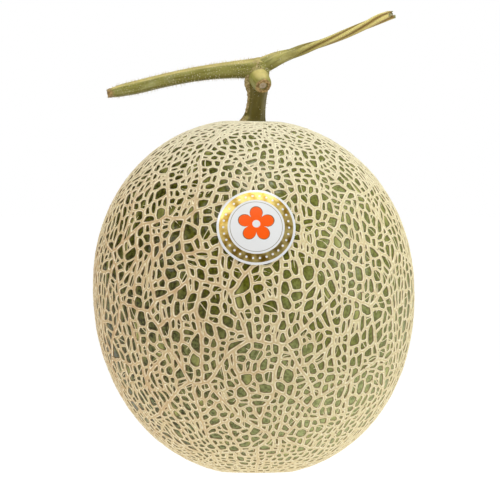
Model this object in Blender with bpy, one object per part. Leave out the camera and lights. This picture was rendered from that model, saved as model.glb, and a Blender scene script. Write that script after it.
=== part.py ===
"""Netted muskmelon as picked: the fruit with its raised net, the cut piece of vine that it
hung from, and the round paper label on its shoulder.

Metres, +Z up. X runs across the fruit as it is seen from the front and Y runs away from the
viewer. The origin is the middle of the flat spot that the fruit rests on.
"""

import math
import random

import bmesh
import bpy
import numpy as np
from mathutils import Vector

MM = 0.001

# Fruit
SKIN_RADIUS = 76.4 * MM        # half the width of the skin at its widest
EQUATOR_Z = 88.4 * MM          # height of the widest place
CROWN_HEIGHT = 80.3 * MM       # from the widest place up to the skin at the stalk
BASE_DEPTH = 89.3 * MM         # from the widest place down, before the flat spot cuts it
CROWN_FULLNESS = 2.08          # 2 is an ellipse, more is boxier
BASE_FULLNESS = 2.12
LEAN = -0.0191                 # how far the middle line drifts to -X for each metre of height
LUMP_HEIGHT = 0.45 * MM        # slow unevenness of the whole skin
DIMPLE_DEPTH = 1.6 * MM        # where the skin sinks round the stalk
DIMPLE_RADIUS = 10.0 * MM
STALK_X = -1.6 * MM            # where the stalk stands on the fruit

# Net
NET_SEED = 11
PRIMARY_CELLS = 84             # first cracks of the young skin, at full depth
CELL_AREA = 277.0 * MM * MM    # a cell larger than this cracks again
CELL_SPREAD = (0.80, 1.20)     # how far that area varies from cell to cell
CROWDING = 0.55                # cells shrink to this share of the area towards both ends
UPRIGHT = 1.32                 # cells are this much taller than wide round the middle
CRACK_DRIFT = 0.16             # how far a crack strays from the middle, as a share of the cell
CRACK_TURN = 0.2               # and how far it turns from straight across, in radians
CRACK_ENDS = (0.22, 0.78)      # a crack meets the side of a cell between these shares of it
SEED_JITTER = 0.055            # disorder of the first cells, on a fruit of radius 1
SETTLE_ROUNDS = 3
SETTLE_PULL = 0.3
RIDGE_HEIGHT = (1.45 * MM, 1.35 * MM, 1.20 * MM, 1.10 * MM)    # first cracks, then later ones
RIDGE_TOP = (1.60 * MM, 1.45 * MM, 1.25 * MM, 1.05 * MM)       # half the width of the flat top
RIDGE_FLANK = 0.6 * MM         # how far each side of a ridge runs out to the skin
STALK_SEAT = 9.6 * MM          # radius of the bare ring round the stalk
REST_SPOT = 12.4 * MM          # radius of the bare scar that the fruit rests on
RING_SIDES = 11                # ridges that leave each of those two rings
RING_CLEARANCE = 3.1           # first cells keep this many ring radii away from their middles
MOST_INSET = 0.62              # a ridge never takes more than this share of a cell

# Vine: each route point is x, y, z and the radius there, in millimetres
FRESH_ARM = ((-71.9, 0.0, 182.7, 2.0), (-68.6, 0.3, 183.4, 2.5), (-64.0, 0.6, 184.1, 3.1),
             (-57.0, 1.0, 185.4, 3.4), (-46.4, 0.8, 187.9, 3.5), (-34.8, 0.2, 190.3, 3.6),
             (-23.3, 0.0, 192.2, 3.8), (-11.8, 0.0, 193.4, 4.1), (-4.0, 0.0, 193.9, 4.6),
             (2.0, 0.0, 194.6, 4.9))
DRIED_ARM = ((-1.0, 0.0, 194.2, 4.2), (4.5, 0.0, 196.4, 3.9), (10.0, -0.2, 198.6, 3.4),
             (17.0, -0.6, 201.2, 2.9), (25.8, -0.8, 204.4, 2.4), (34.0, -0.4, 207.2, 2.1),
             (43.1, 0.4, 210.8, 2.2), (52.0, 0.9, 214.6, 2.3), (59.0, 0.9, 217.8, 2.45),
             (63.6, 0.7, 219.5, 2.2))
STALK = ((-1.5, 0.0, 167.3, 6.8), (-1.2, 0.0, 168.7, 6.0), (-0.7, 0.0, 170.8, 5.0),
         (-0.2, 0.0, 174.0, 4.45), (0.5, 0.0, 179.2, 4.2), (1.0, 0.0, 184.0, 4.5),
         (0.8, 0.0, 189.0, 5.0), (0.4, 0.0, 193.6, 4.6))
LEAF_STUB = ((0.8, 0.6, 191.6, 4.3), (1.9, -4.6, 188.8, 4.1), (3.4, -10.4, 185.3, 3.5))
NODE_SWELLING = (0.6, 0.0, 192.4, 5.6)
VINE_RIBS = 5
FRESH_RIBS = (0.04, 0.06)      # rib depth at both ends of a tube, as a share of its radius
DRIED_RIBS = (0.03, 0.30)
STALK_RIBS = (0.10, 0.06)
DRIED_TWIST = 0.55             # turns that the dried arm's ribs make from end to end
FRAYED_TIPS = ((3.4, 0.1, 1.9), (3.0, -1.5, 0.6), (3.3, 1.2, -0.5), (2.2, 0.4, -1.7))
FRAYED_TIP_RADIUS = 0.75

# Label
LABEL_RADIUS = 19.0 * MM
LABEL_THICKNESS = 0.4 * MM
LABEL_CENTRE = (0.0, 117.3 * MM)     # x and z of its middle, on the front of the fruit
LABEL_SIDES = 36
LABEL_RINGS = 4
GAP = 0.3 * MM                 # between pieces that touch


def clear_scene():
    for thing in list(bpy.data.objects):
        bpy.data.objects.remove(thing, do_unlink=True)


def finish_material(name, hex_colour, roughness):
    """A Principled material; the colour is written as sRGB and turned to linear here."""
    channels = [int(hex_colour[i:i + 2], 16) / 255 for i in (0, 2, 4)]
    linear = [c / 12.92 if c <= 0.04045 else ((c + 0.055) / 1.055) ** 2.4 for c in channels]
    material = bpy.data.materials.new(name)
    material.use_nodes = True
    shader = material.node_tree.nodes["Principled BSDF"]
    shader.inputs["Base Color"].default_value = (*linear, 1.0)
    shader.inputs["Roughness"].default_value = roughness
    shader.inputs["Metallic"].default_value = 0.0
    return material


def named_object(name, shape, material=None):
    """Turn a bmesh into an object with outward normals and smooth shading."""
    bmesh.ops.recalc_face_normals(shape, faces=shape.faces)
    mesh = bpy.data.meshes.new(name)
    shape.to_mesh(mesh)
    shape.free()
    mesh.shade_smooth()
    thing = bpy.data.objects.new(name, mesh)
    bpy.context.scene.collection.objects.link(thing)
    if material:
        mesh.materials.append(material)
    return thing


# The fruit's form: every direction from the centre meets the skin once.

FRUIT_CENTRE = np.array((LEAN * EQUATOR_Z, 0.0, EQUATOR_Z))


def skin_distance(directions):
    """Distance from the fruit's centre to its skin along each unit direction."""
    dx, dy, dz = np.asarray(directions).T
    power = np.where(dz > 0, CROWN_FULLNESS, BASE_FULLNESS)
    reach = np.where(dz > 0, CROWN_HEIGHT, BASE_DEPTH)
    across = np.hypot(dx - LEAN * dz, dy) / SKIN_RADIUS
    along = np.abs(dz) / reach
    distance = (across ** power + along ** power) ** (-1 / power)
    slow = np.sin(3.1 * dx + 1.7 * dz + 0.4) * np.cos(2.6 * dy - 0.8) + np.sin(4.3 * dy + 2.2 * dx)
    from_stalk = np.hypot(dx * distance + FRUIT_CENTRE[0] - STALK_X, dy * distance)
    dimple = DIMPLE_DEPTH * np.exp(-((from_stalk / DIMPLE_RADIUS) ** 2)) * (dz > 0)
    return distance + LUMP_HEIGHT * slow * (1 - dz ** 2) - dimple


def on_fruit(directions, lift):
    """Points at a lift above the skin, cut off level where the fruit rests."""
    directions = np.asarray(directions)
    places = FRUIT_CENTRE + directions * (skin_distance(directions) + lift)[:, None]
    places[:, 2] = np.maximum(places[:, 2], 0.0)
    return places


def direction_to(x, y, z):
    way = np.array((x, y, z)) - FRUIT_CENTRE
    return way / np.linalg.norm(way)


# The net: cells on the unit sphere that crack again and again.

class Cell:
    """One opening of the net; its path says which halves it came from."""

    def __init__(self, loop, depth, path, whole=False):
        self.loop = loop
        self.depth = depth
        self.path = path
        self.whole = whole


class Net:
    """Junctions of the ridges as unit vectors, and the cells that the ridges enclose."""

    def __init__(self):
        self.points = []
        self.cells = []
        self.cuts = {}
        self.depth = {}

    def chain(self, a, b):
        middle = self.cuts.get((min(a, b), max(a, b)))
        if middle is None:
            return [a]
        return self.chain(a, middle) + self.chain(middle, b)

    def grown_loop(self, cell):
        """The cell's corners with the junctions that its neighbours have since added."""
        pairs = zip(cell.loop, cell.loop[1:] + cell.loop[:1])
        return [corner for a, b in pairs for corner in self.chain(a, b)]

    def cut(self, a, b, share):
        middle = len(self.points)
        place = self.points[a] * (1 - share) + self.points[b] * share
        self.points.append(place / np.linalg.norm(place))
        self.cuts[(min(a, b), max(a, b))] = middle
        for end in (a, b):
            self.depth[(min(end, middle), max(end, middle))] = self.depth[(min(a, b), max(a, b))]
        return middle

    def edges(self):
        found = set()
        for cell in self.cells:
            for a, b in zip(cell.loop, cell.loop[1:] + cell.loop[:1]):
                found.add((min(a, b), max(a, b)))
        return found


def tangent_frame(centre):
    """East and north at a direction on the sphere."""
    east = np.array((-centre[1], centre[0], 0.0))
    east /= np.linalg.norm(east)
    return east, np.cross(centre, east)


def flatten(points):
    """Corners in the plane that touches the sphere at their middle, and that plane's axes."""
    centre = points.mean(axis=0)
    centre /= np.linalg.norm(centre)
    east, north = tangent_frame(centre)
    scaled = points / (points @ centre)[:, None]
    return np.stack((scaled @ east, scaled @ north), axis=1), centre, east, north


def polygon_moments(corners):
    """Area, middle and second moments of a flat polygon."""
    x0, y0 = corners.T
    x1, y1 = np.roll(corners, -1, axis=0).T
    cross = x0 * y1 - x1 * y0
    area = cross.sum() / 2
    middle = np.array((((x0 + x1) * cross).sum(), ((y0 + y1) * cross).sum())) / (6 * area)
    xx = ((x0 * x0 + x0 * x1 + x1 * x1) * cross).sum() / 12 - area * middle[0] ** 2
    yy = ((y0 * y0 + y0 * y1 + y1 * y1) * cross).sum() / 12 - area * middle[1] ** 2
    xy = ((x0 * y1 + 2 * x0 * y0 + 2 * x1 * y1 + x1 * y0) * cross).sum() / 24
    return area, middle, xx, yy, xy - area * middle[0] * middle[1]


def seed_directions(dice):
    """Even directions with some disorder, and a ring round each bare round place."""
    stalk = direction_to(STALK_X, 0.0, EQUATOR_Z + CROWN_HEIGHT)
    rest = direction_to(0.0, 0.0, 0.0)
    rings = ((stalk, STALK_SEAT / CROWN_HEIGHT), (rest, REST_SPOT / EQUATOR_Z))
    seeds = []
    for axis, angle in rings:
        east, north = tangent_frame(axis)
        seeds.append(axis)
        for i in range(RING_SIDES):
            turn = 2 * math.pi * i / RING_SIDES
            side = east * math.cos(turn) + north * math.sin(turn)
            seeds.append(axis * math.cos(2 * angle) + side * math.sin(2 * angle))
    golden = math.pi * (3 - math.sqrt(5))
    for i in range(PRIMARY_CELLS):
        height = 1 - (2 * i + 1) / PRIMARY_CELLS
        turn = i * golden
        flat = math.sqrt(1 - height * height)
        way = np.array((flat * math.cos(turn), flat * math.sin(turn), height))
        way += np.array([dice.gauss(0, SEED_JITTER) for _ in range(3)])
        way /= np.linalg.norm(way)
        if all(way @ axis < math.cos(RING_CLEARANCE * angle) for axis, angle in rings):
            seeds.append(way)
    return seeds


def first_cracks(net, seeds):
    """Primary cells: the areas nearest to each seed, from the seeds' convex hull."""
    hull = bmesh.new()
    for seed in seeds:
        hull.verts.new(seed)
    bmesh.ops.convex_hull(hull, input=hull.verts)
    bmesh.ops.triangulate(hull, faces=hull.faces)
    hull.verts.ensure_lookup_table()
    hull.faces.index_update()
    for face in hull.faces:
        face.normal_update()
        out = np.array(face.normal)
        net.points.append(out if out @ np.array(face.calc_center_median()) > 0 else -out)
    for index, seed in enumerate(seeds):
        east, north = tangent_frame(seed)
        corners = [face.index for face in hull.verts[index].link_faces]
        corners.sort(key=lambda c: math.atan2(net.points[c] @ north, net.points[c] @ east))
        net.cells.append(Cell(corners, 0, index + 1, whole=index in (0, RING_SIDES + 1)))
    hull.free()
    for edge in net.edges():
        net.depth[edge] = 0


def chord_through(corners, point, along):
    """The two sides of a flat polygon that a line crosses, each with its share."""
    across = np.array((-along[1], along[0]))
    height = (corners - point) @ across
    hits = []
    for i in range(len(corners)):
        j = (i + 1) % len(corners)
        if (height[i] > 0) != (height[j] > 0):
            hits.append((i, height[i] / (height[i] - height[j])))
    return hits


def crack(net, cell, dice):
    """Split a cell across its long way; gives its two halves."""
    loop = net.grown_loop(cell)
    flat, centre, _, _ = flatten(np.array([net.points[i] for i in loop]))
    upright = 1 + (UPRIGHT - 1) * (1 - centre[2] ** 2)
    stretch = np.array((upright, 1.0))
    _, middle, xx, yy, xy = polygon_moments(flat * stretch)
    angle = 0.5 * math.atan2(2 * xy, xx - yy)
    size = math.sqrt(max(xx, yy) ** 0.5)
    long_way = np.array((math.cos(angle), math.sin(angle)))
    point = middle + long_way * dice.uniform(-CRACK_DRIFT, CRACK_DRIFT) * size
    turned = angle + math.pi / 2 + dice.gauss(0, CRACK_TURN)
    hits = chord_through(flat * stretch, point, (math.cos(turned), math.sin(turned)))
    if len(hits) != 2:
        return None
    ends = []
    for side, share in hits:
        a, b = loop[side], loop[(side + 1) % len(loop)]
        ends.append(net.cut(a, b, min(max(share, CRACK_ENDS[0]), CRACK_ENDS[1])))
    net.depth[(min(ends), max(ends))] = cell.depth + 1
    first, second = hits[0][0], hits[1][0]
    one = [ends[0]] + loop[first + 1:second + 1] + [ends[1]]
    other = [ends[1]] + loop[second + 1:] + loop[:first + 1] + [ends[0]]
    halves = ((one, cell.path * 2), (other, cell.path * 2 + 1))
    return [Cell(corners, cell.depth + 1, path) for corners, path in halves]


def cell_size(net, cell):
    """The cell's area on the fruit and the area that it may have before it cracks again."""
    flat, centre, _, _ = flatten(np.array([net.points[i] for i in cell.loop]))
    area = polygon_moments(flat)[0] * float(skin_distance(centre[None])[0]) ** 2
    spread = random.Random(f"size {NET_SEED} {cell.path}").uniform(*CELL_SPREAD)
    return area, CELL_AREA * spread * (1 - (1 - CROWDING) * abs(centre[2]) ** 3)


def crack_all(net):
    waiting = list(net.cells)
    net.cells = []
    while waiting:
        later = []
        for cell in waiting:
            area, allowed = cell_size(net, cell)
            halves = None
            if not cell.whole and area > allowed:
                halves = crack(net, cell, random.Random(f"crack {NET_SEED} {cell.path}"))
            if halves:
                later.extend(halves)
            else:
                net.cells.append(cell)
        waiting = later
    for cell in net.cells:
        cell.loop = net.grown_loop(cell)


def settle(net):
    """Junctions move towards their neighbours, so that corners round off as grown ones do."""
    held = {i for cell in net.cells if cell.whole for i in cell.loop}
    neighbours = {}
    for a, b in net.edges():
        strength = 1.0 / (1 + net.depth[(a, b)])
        neighbours.setdefault(a, []).append((b, strength))
        neighbours.setdefault(b, []).append((a, strength))
    for _ in range(SETTLE_ROUNDS):
        moved = list(net.points)
        for corner, near in neighbours.items():
            if corner in held:
                continue
            total = sum(strength for _, strength in near)
            middle = sum(net.points[other] * strength for other, strength in near) / total
            place = net.points[corner] * (1 - SETTLE_PULL) + middle * SETTLE_PULL
            moved[corner] = place / np.linalg.norm(place)
        net.points = moved


def grow_net():
    net = Net()
    first_cracks(net, seed_directions(random.Random(NET_SEED)))
    crack_all(net)
    settle(net)
    return net


def by_depth(values, depth):
    return values[min(depth, len(values) - 1)]


def inset(flat, middle, half_widths):
    """Corners stepped towards the middle, so that each side keeps its distance."""
    along = np.roll(flat, -1, axis=0) - flat
    along /= np.linalg.norm(along, axis=1)[:, None]
    offset = middle - flat
    clear = np.abs(along[:, 0] * offset[:, 1] - along[:, 1] * offset[:, 0])
    shares = half_widths / np.maximum(clear, 1e-9)
    shares = np.minimum(np.maximum(shares, np.roll(shares, 1)), MOST_INSET)[:, None]
    return flat * (1 - shares) + middle * shares


def build_fruit():
    """Skin and net in one closed solid: a bare floor in each cell, flat-topped ridges between."""
    net = grow_net()
    shape = bmesh.new()
    corner_depth = {}
    for edge in net.edges():
        for corner in edge:
            corner_depth[corner] = min(corner_depth.get(corner, net.depth[edge]), net.depth[edge])
    tops = {}
    banks = {}
    for cell in net.cells:
        flat, centre, east, north = flatten(np.array([net.points[i] for i in cell.loop]))
        middle = polygon_moments(flat)[1]
        reach = float(skin_distance(centre[None])[0])
        pairs = list(zip(cell.loop, cell.loop[1:] + cell.loop[:1]))
        half = np.array([by_depth(RIDGE_TOP, net.depth[(min(pair), max(pair))]) for pair in pairs])
        lifts = np.array([by_depth(RIDGE_HEIGHT, corner_depth[corner]) for corner in cell.loop])
        rows = []
        for widths, heights in ((half, lifts), (half + RIDGE_FLANK, lifts * 0)):
            spots = inset(flat, middle, widths / reach)
            ways = centre + spots[:, :1] * east + spots[:, 1:] * north
            rows.append(on_fruit(ways / np.linalg.norm(ways, axis=1)[:, None], heights))
        if cell.whole and centre[2] > 0:
            rows[1][:, 2] = STALK[0][2] * MM - GAP
        top, floor = [[shape.verts.new(place) for place in row] for row in rows]
        shape.faces.new(floor)
        for i, pair in enumerate(pairs):
            j = (i + 1) % len(pairs)
            shape.faces.new((top[i], top[j], floor[j], floor[i]))
            tops.setdefault(pair[0], []).append(top[i])
            banks[pair] = (top[i], top[j])
    for (a, b), (near_a, near_b) in banks.items():
        if a < b:
            far_b, far_a = banks[(b, a)]
            shape.faces.new((near_b, near_a, far_a, far_b))
    for corner, around in tops.items():
        east, north = (Vector(axis) for axis in tangent_frame(net.points[corner]))
        middle = sum((vert.co for vert in around), Vector()) / len(around)
        around.sort(key=lambda v: math.atan2((v.co - middle).dot(north), (v.co - middle).dot(east)))
        if len(around) > 2:
            shape.faces.new(around)
    bmesh.ops.triangulate(shape, faces=shape.faces)
    return named_object("fruit", shape, finish_material("netted rind", "B5AE82", 0.62))


# The vine: ribbed tubes along smooth routes, joined into one piece.

def smooth_route(points, steps):
    """Places and radii along a curve through the route points, in metres."""
    knots = np.array(points) * MM
    knots = np.vstack((2 * knots[0] - knots[1], knots, 2 * knots[-1] - knots[-2]))
    samples = []
    spans = len(knots) - 3
    for i in range(steps + 1):
        place = i / steps * spans
        span = min(int(place), spans - 1)
        t = place - span
        a, b, c, d = knots[span:span + 4]
        samples.append(0.5 * (2 * b + (c - a) * t + (2 * a - 5 * b + 4 * c - d) * t ** 2
                              + (3 * b - a - 3 * c + d) * t ** 3))
    return np.array(samples)


def ribbed_tube(name, route, sides, ribs=(0.0, 0.0), turns=0.0, level_base=False):
    """A closed tube whose ribs may wind round it; a level base stands flat on the fruit."""
    shape = bmesh.new()
    rings = []
    side = Vector((0.0, 1.0, 0.0))
    last = len(route) - 1
    for i, (x, y, z, radius) in enumerate(route):
        ahead = Vector(route[min(i + 1, last)][:3] - route[max(i - 1, 0)][:3]).normalized()
        if level_base and i == 0:
            ahead = Vector((0.0, 0.0, 1.0))
        side = (side - ahead * side.dot(ahead)).normalized()
        other = ahead.cross(side)
        share = i / last
        rib_depth = ribs[0] * (1 - share) + ribs[1] * share
        ring = []
        for k in range(sides):
            turn = 2 * math.pi * k / sides
            swell = 1 + rib_depth * math.cos(VINE_RIBS * turn)
            angle = turn + 2 * math.pi * turns * share
            out = side * math.cos(angle) + other * math.sin(angle)
            ring.append(shape.verts.new(Vector((x, y, z)) + out * radius * swell))
        rings.append(ring)
    for low, high in zip(rings, rings[1:]):
        for k in range(sides):
            j = (k + 1) % sides
            shape.faces.new((low[k], low[j], high[j], high[k]))
    shape.faces.new(rings[0])
    shape.faces.new(rings[-1])
    bmesh.ops.triangulate(shape, faces=shape.faces)
    return named_object(name, shape)


def swelling(name, x, y, z, radius):
    shape = bmesh.new()
    bmesh.ops.create_icosphere(shape, subdivisions=2, radius=radius * MM)
    bmesh.ops.translate(shape, verts=shape.verts, vec=Vector((x, y, z)) * MM)
    return named_object(name, shape)


def frayed_tip(name, root, reach):
    """A torn strand at the dried end: a slim cone whose root lies inside the arm."""
    way = Vector(reach) * MM
    samples = []
    for share in (0.0, 0.5, 1.0):
        place = Vector(root) + way * (1.6 * share - 0.6)
        samples.append((*place, FRAYED_TIP_RADIUS * MM * (1 - 0.75 * share)))
    return ribbed_tube(name, np.array(samples), 6)


def joined(name, pieces, material):
    """One closed solid from overlapping pieces."""
    helpers = bpy.data.collections.new(name + " pieces")
    for piece in pieces[1:]:
        helpers.objects.link(piece)
    union = pieces[0].modifiers.new("union", "BOOLEAN")
    union.operation = "UNION"
    union.operand_type = "COLLECTION"
    union.collection = helpers
    union.solver = "MANIFOLD"
    evaluated = pieces[0].evaluated_get(bpy.context.evaluated_depsgraph_get())
    merged = bpy.data.meshes.new_from_object(evaluated)
    for piece in pieces:
        bpy.data.objects.remove(piece, do_unlink=True)
    bpy.data.collections.remove(helpers)
    merged.name = name
    merged.materials.clear()
    merged.materials.append(material)
    merged.shade_smooth()
    merged.set_sharp_from_angle(angle=math.radians(50))
    thing = bpy.data.objects.new(name, merged)
    bpy.context.scene.collection.objects.link(thing)
    return thing


def build_stem():
    dried_route = smooth_route(DRIED_ARM, 36)
    pieces = [
        ribbed_tube("stalk", smooth_route(STALK, 16), 15, STALK_RIBS, level_base=True),
        ribbed_tube("fresh arm", smooth_route(FRESH_ARM, 26), 15, FRESH_RIBS),
        ribbed_tube("dried arm", dried_route, 15, DRIED_RIBS, turns=DRIED_TWIST),
        ribbed_tube("leaf stub", smooth_route(LEAF_STUB, 5), 12),
        swelling("node", *NODE_SWELLING),
    ]
    for i, reach in enumerate(FRAYED_TIPS):
        pieces.append(frayed_tip(f"tip {i}", dried_route[-1][:3], reach))
    return joined("stem", pieces, finish_material("cut vine", "8A8A45", 0.7))


# The label: a round of paper that follows the crests under it.

def front_direction(x, z):
    """The direction from the fruit's centre to the skin in front, at a given x and z."""
    across, up = x - FRUIT_CENTRE[0], z - FRUIT_CENTRE[2]
    reach = SKIN_RADIUS
    for _ in range(12):
        way = np.array((across / reach, 0.0, up / reach))
        way[1] = -math.sqrt(1.0 - way @ way)
        reach = float(skin_distance(way[None])[0])
    return way, reach


def build_label():
    centre, reach = front_direction(*LABEL_CENTRE)
    east, north = tangent_frame(centre)
    shape = bmesh.new()
    ways = [centre]
    for ring in range(1, LABEL_RINGS + 1):
        angle = LABEL_RADIUS * ring / LABEL_RINGS / reach
        for k in range(LABEL_SIDES):
            turn = 2 * math.pi * k / LABEL_SIDES
            side = east * math.cos(turn) + north * math.sin(turn)
            ways.append(centre * math.cos(angle) + side * math.sin(angle))
    sheets = []
    for lift in (RIDGE_HEIGHT[0] + GAP, RIDGE_HEIGHT[0] + GAP + LABEL_THICKNESS):
        sheets.append([shape.verts.new(place) for place in on_fruit(ways, np.full(len(ways), lift))])
    back, front = sheets
    rim = 1 + (LABEL_RINGS - 1) * LABEL_SIDES
    for k in range(LABEL_SIDES):
        j = (k + 1) % LABEL_SIDES
        for sheet in sheets:
            shape.faces.new((sheet[0], sheet[1 + k], sheet[1 + j]))
            for inner in range(1, rim, LABEL_SIDES):
                outer = inner + LABEL_SIDES
                shape.faces.new((sheet[inner + k], sheet[outer + k], sheet[outer + j], sheet[inner + j]))
        shape.faces.new((back[rim + k], front[rim + k], front[rim + j], back[rim + j]))
    bmesh.ops.triangulate(shape, faces=shape.faces)
    return named_object("label", shape, finish_material("coated paper", "E8DFC4", 0.45))


def main():
    clear_scene()
    build_fruit()
    build_stem()
    build_label()


main()
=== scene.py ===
"""A netted muskmelon as picked, dressed for a studio photograph.

The fruit is a smooth skin under a corky net at its real fineness, with the cut vine on top and
a round paper label on the shoulder. Everything on the fruit is first drawn on a sphere of
radius 1, with its lift above the skin in an attribute, and one Geometry Nodes tree then gives
every layer the fruit's form.
"""

import math
import random

import bmesh
import bpy
import numpy as np
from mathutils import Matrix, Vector, noise


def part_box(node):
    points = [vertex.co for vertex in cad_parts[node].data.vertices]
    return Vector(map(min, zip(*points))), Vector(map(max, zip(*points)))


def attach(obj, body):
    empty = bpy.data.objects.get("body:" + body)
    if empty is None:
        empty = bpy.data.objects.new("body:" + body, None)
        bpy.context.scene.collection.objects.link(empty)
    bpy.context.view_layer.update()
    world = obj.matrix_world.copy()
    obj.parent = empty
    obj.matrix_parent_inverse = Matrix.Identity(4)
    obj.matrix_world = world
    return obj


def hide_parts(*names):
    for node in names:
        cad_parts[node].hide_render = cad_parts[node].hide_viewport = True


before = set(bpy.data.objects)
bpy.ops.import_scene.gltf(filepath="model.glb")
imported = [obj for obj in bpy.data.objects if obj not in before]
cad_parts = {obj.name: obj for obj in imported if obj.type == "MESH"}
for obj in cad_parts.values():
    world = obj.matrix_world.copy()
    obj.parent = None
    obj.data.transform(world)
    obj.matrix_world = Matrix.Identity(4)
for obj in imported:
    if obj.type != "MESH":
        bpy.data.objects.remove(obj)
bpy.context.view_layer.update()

bl_info = {
    "name": "Netted Muskmelon",
    "version": (1, 0, 0),
    "blender": (4, 5, 0),
    "location": "3D View > Sidebar > Muskmelon",
    "description": "Builds a netted muskmelon with its cut vine and a paper label",
    "category": "Add Mesh",
}

MM = 0.001
LABEL_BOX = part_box("label")
STEM_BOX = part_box("stem")
ROOT = "root"

# The fruit's form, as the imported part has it
CROWN_FULLNESS = 2.08
BASE_FULLNESS = 2.12
LEAN = -0.0191
EQUATOR_Z = 88.4 * MM
FRUIT_CENTRE = np.array((LEAN * EQUATOR_Z, 0.0, EQUATOR_Z))
STALK_X = -1.6 * MM
CROWN_HEIGHT = 80.3 * MM
REST_CLEARANCE = 0.15 * MM     # the skin's scar stays this far above the table

# The net's growth: cells crack in two until they are small enough, then their corners settle
NET_SEED = 11
PRIMARY_CELLS = 46
SEED_JITTER = 0.055
STALK_SEAT = 9.6 * MM          # radius of the bare place round the stalk
REST_SPOT = 12.4 * MM          # and of the one that the fruit rests on
RING_SIDES = 11
RING_CLEARANCE = 3.1           # no other seed this near a ring's middle, in its angle
CELL_SPREAD = (0.72, 1.32)     # how much the allowed area differs from cell to cell
UPRIGHT = 1.9                  # how much taller than wide a cell grows before it cracks across
LATE_UPRIGHT = 1.2             # the same for the late cracks, which are its rungs
ORDER = 0.6                    # how far a crack turns towards upright or level, as a share
CRACK_TRIES = 4                # the neatest of this many cracks is taken
CORNER_COST = 0.5              # what cutting off a bare corner costs in neatness
CRACK_DRIFT = 0.16             # how far off the middle a crack may start, in the cell's size
CRACK_TURN = 0.16              # how much its direction varies, in radians
LATE_CELL_AREA = 140.0 * MM * MM     # cracks in cells smaller than this are less orderly
LATE_DRIFT = 0.20
LATE_TURN = 0.24
CRACK_ENDS = (0.22, 0.78)      # a crack keeps this far from the corners of a side
SETTLE_ROUNDS = 2
SETTLE_PULL = 0.26             # share of the way to the neighbours' middle in one round

# The net's cross-section, crest to skin, in shares of the ridge's half width and height
RING_REACH = (0.38, 0.74, 1.0, 1.42)
RING_LIFT = (0.94, 0.62, 0.0, 0.0)
APRON = 0.05 * MM              # the cork's foot, with its painted dark shade, spreads this thin over the skin
BULGE_EDGE = 0.14 * MM         # the skin in an opening bulges this far where the foot ends
BULGE_MIDDLE = 0.15 * MM       # and this much further in the middle of a wide one
BULGE_WIDE = 1.4               # how much deeper than the last ring such a middle is
SHELL_DEPTH = 0.6 * MM         # the closed underside of the net, under the skin
CORNER_SHARPNESS = 14.0        # lower rounds the corners of the openings more
RIDGE_HALF_WIDTH = (1.20, 1.24, 1.22, 1.14, 1.02, 0.90, 0.80)
RIDGE_HEIGHT = (0.70, 0.70, 0.68, 0.65, 0.60, 0.54, 0.48)
GROOVE = 0.13                  # how much lower a broad ridge is along its middle
CREST_STEP = 1.12 * MM
CREST_WANDER = 0.05            # sideways bend of a ridge, as a share of its length
CREST_UNEVEN = 0.05            # how much its height varies along it
SWAY_SHARE = 0.4               # its double bend against its single one
RIDGE_SPREAD = (0.84, 1.16)    # how much one ridge's width differs from another's
OPEN_DEPTH = 1.52              # a cell shallower than this has no bare skin, only a dimple
SECTORS = 6
HUB_GRID = 7                   # spots on a side of the grids that look for an opening's middle
HUB_GRIDS = (0.75, 0.22, 0.07)  # their sizes, as shares of the opening
RAY_STEPS = np.linspace(0, 1, 15)
DIMPLE_FILL = 0.95             # how near the last ring comes to the middle of a closed cell
RUNG_WIDTH = 0.76              # width of a level ridge against an upright one
MEANDER = 1.5 * MM             # how far the whole net wanders sideways
MEANDER_LENGTH = 15 * MM
MEANDER_AXES = ((0.0, 0.0, 0.0), (17.3, 5.1, 9.7), (31.9, 23.3, 41.1))  # where the noise is read
MEANDER_CALM = (15 * MM, 27 * MM)   # none of it this near the stalk and the rest spot, and all of it
NET_SHARP = math.radians(75)   # edges sharper than this stay sharp

# Fine threads of young cork that cross an opening or end in it
THREAD_SHARE = 0.36            # of the openings that are wide enough
THREAD_MIN_AREA = 16 * MM * MM
THREAD_LOWEST = -0.9           # none below this height on the unit sphere, where the fruit rests
THREAD_DEAD_END = 0.5          # of the threads
THREAD_STEPS = 6
THREAD_ACROSS = (0.38, 0.62)   # how far round the opening the other end is, as a share
THREAD_STUB = (0.5, 0.75)      # how far across it a dead end comes
THREAD_TAPER = 0.6             # how much thinner a dead end gets
THREAD_SPREAD = (0.75, 1.1)    # how much its thickness varies
THREAD_BOW = 0.09              # how far it bends sideways, as a share of its length
THREAD_SHAKE = 0.02            # how unevenly its points are spaced, likewise
THREAD_FLANK = 0.4             # coloured like this place on a ridge
THREAD_SIDES = 6
THREAD_LIFT = 0.08 * MM
THREAD_SEED = 23

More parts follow.
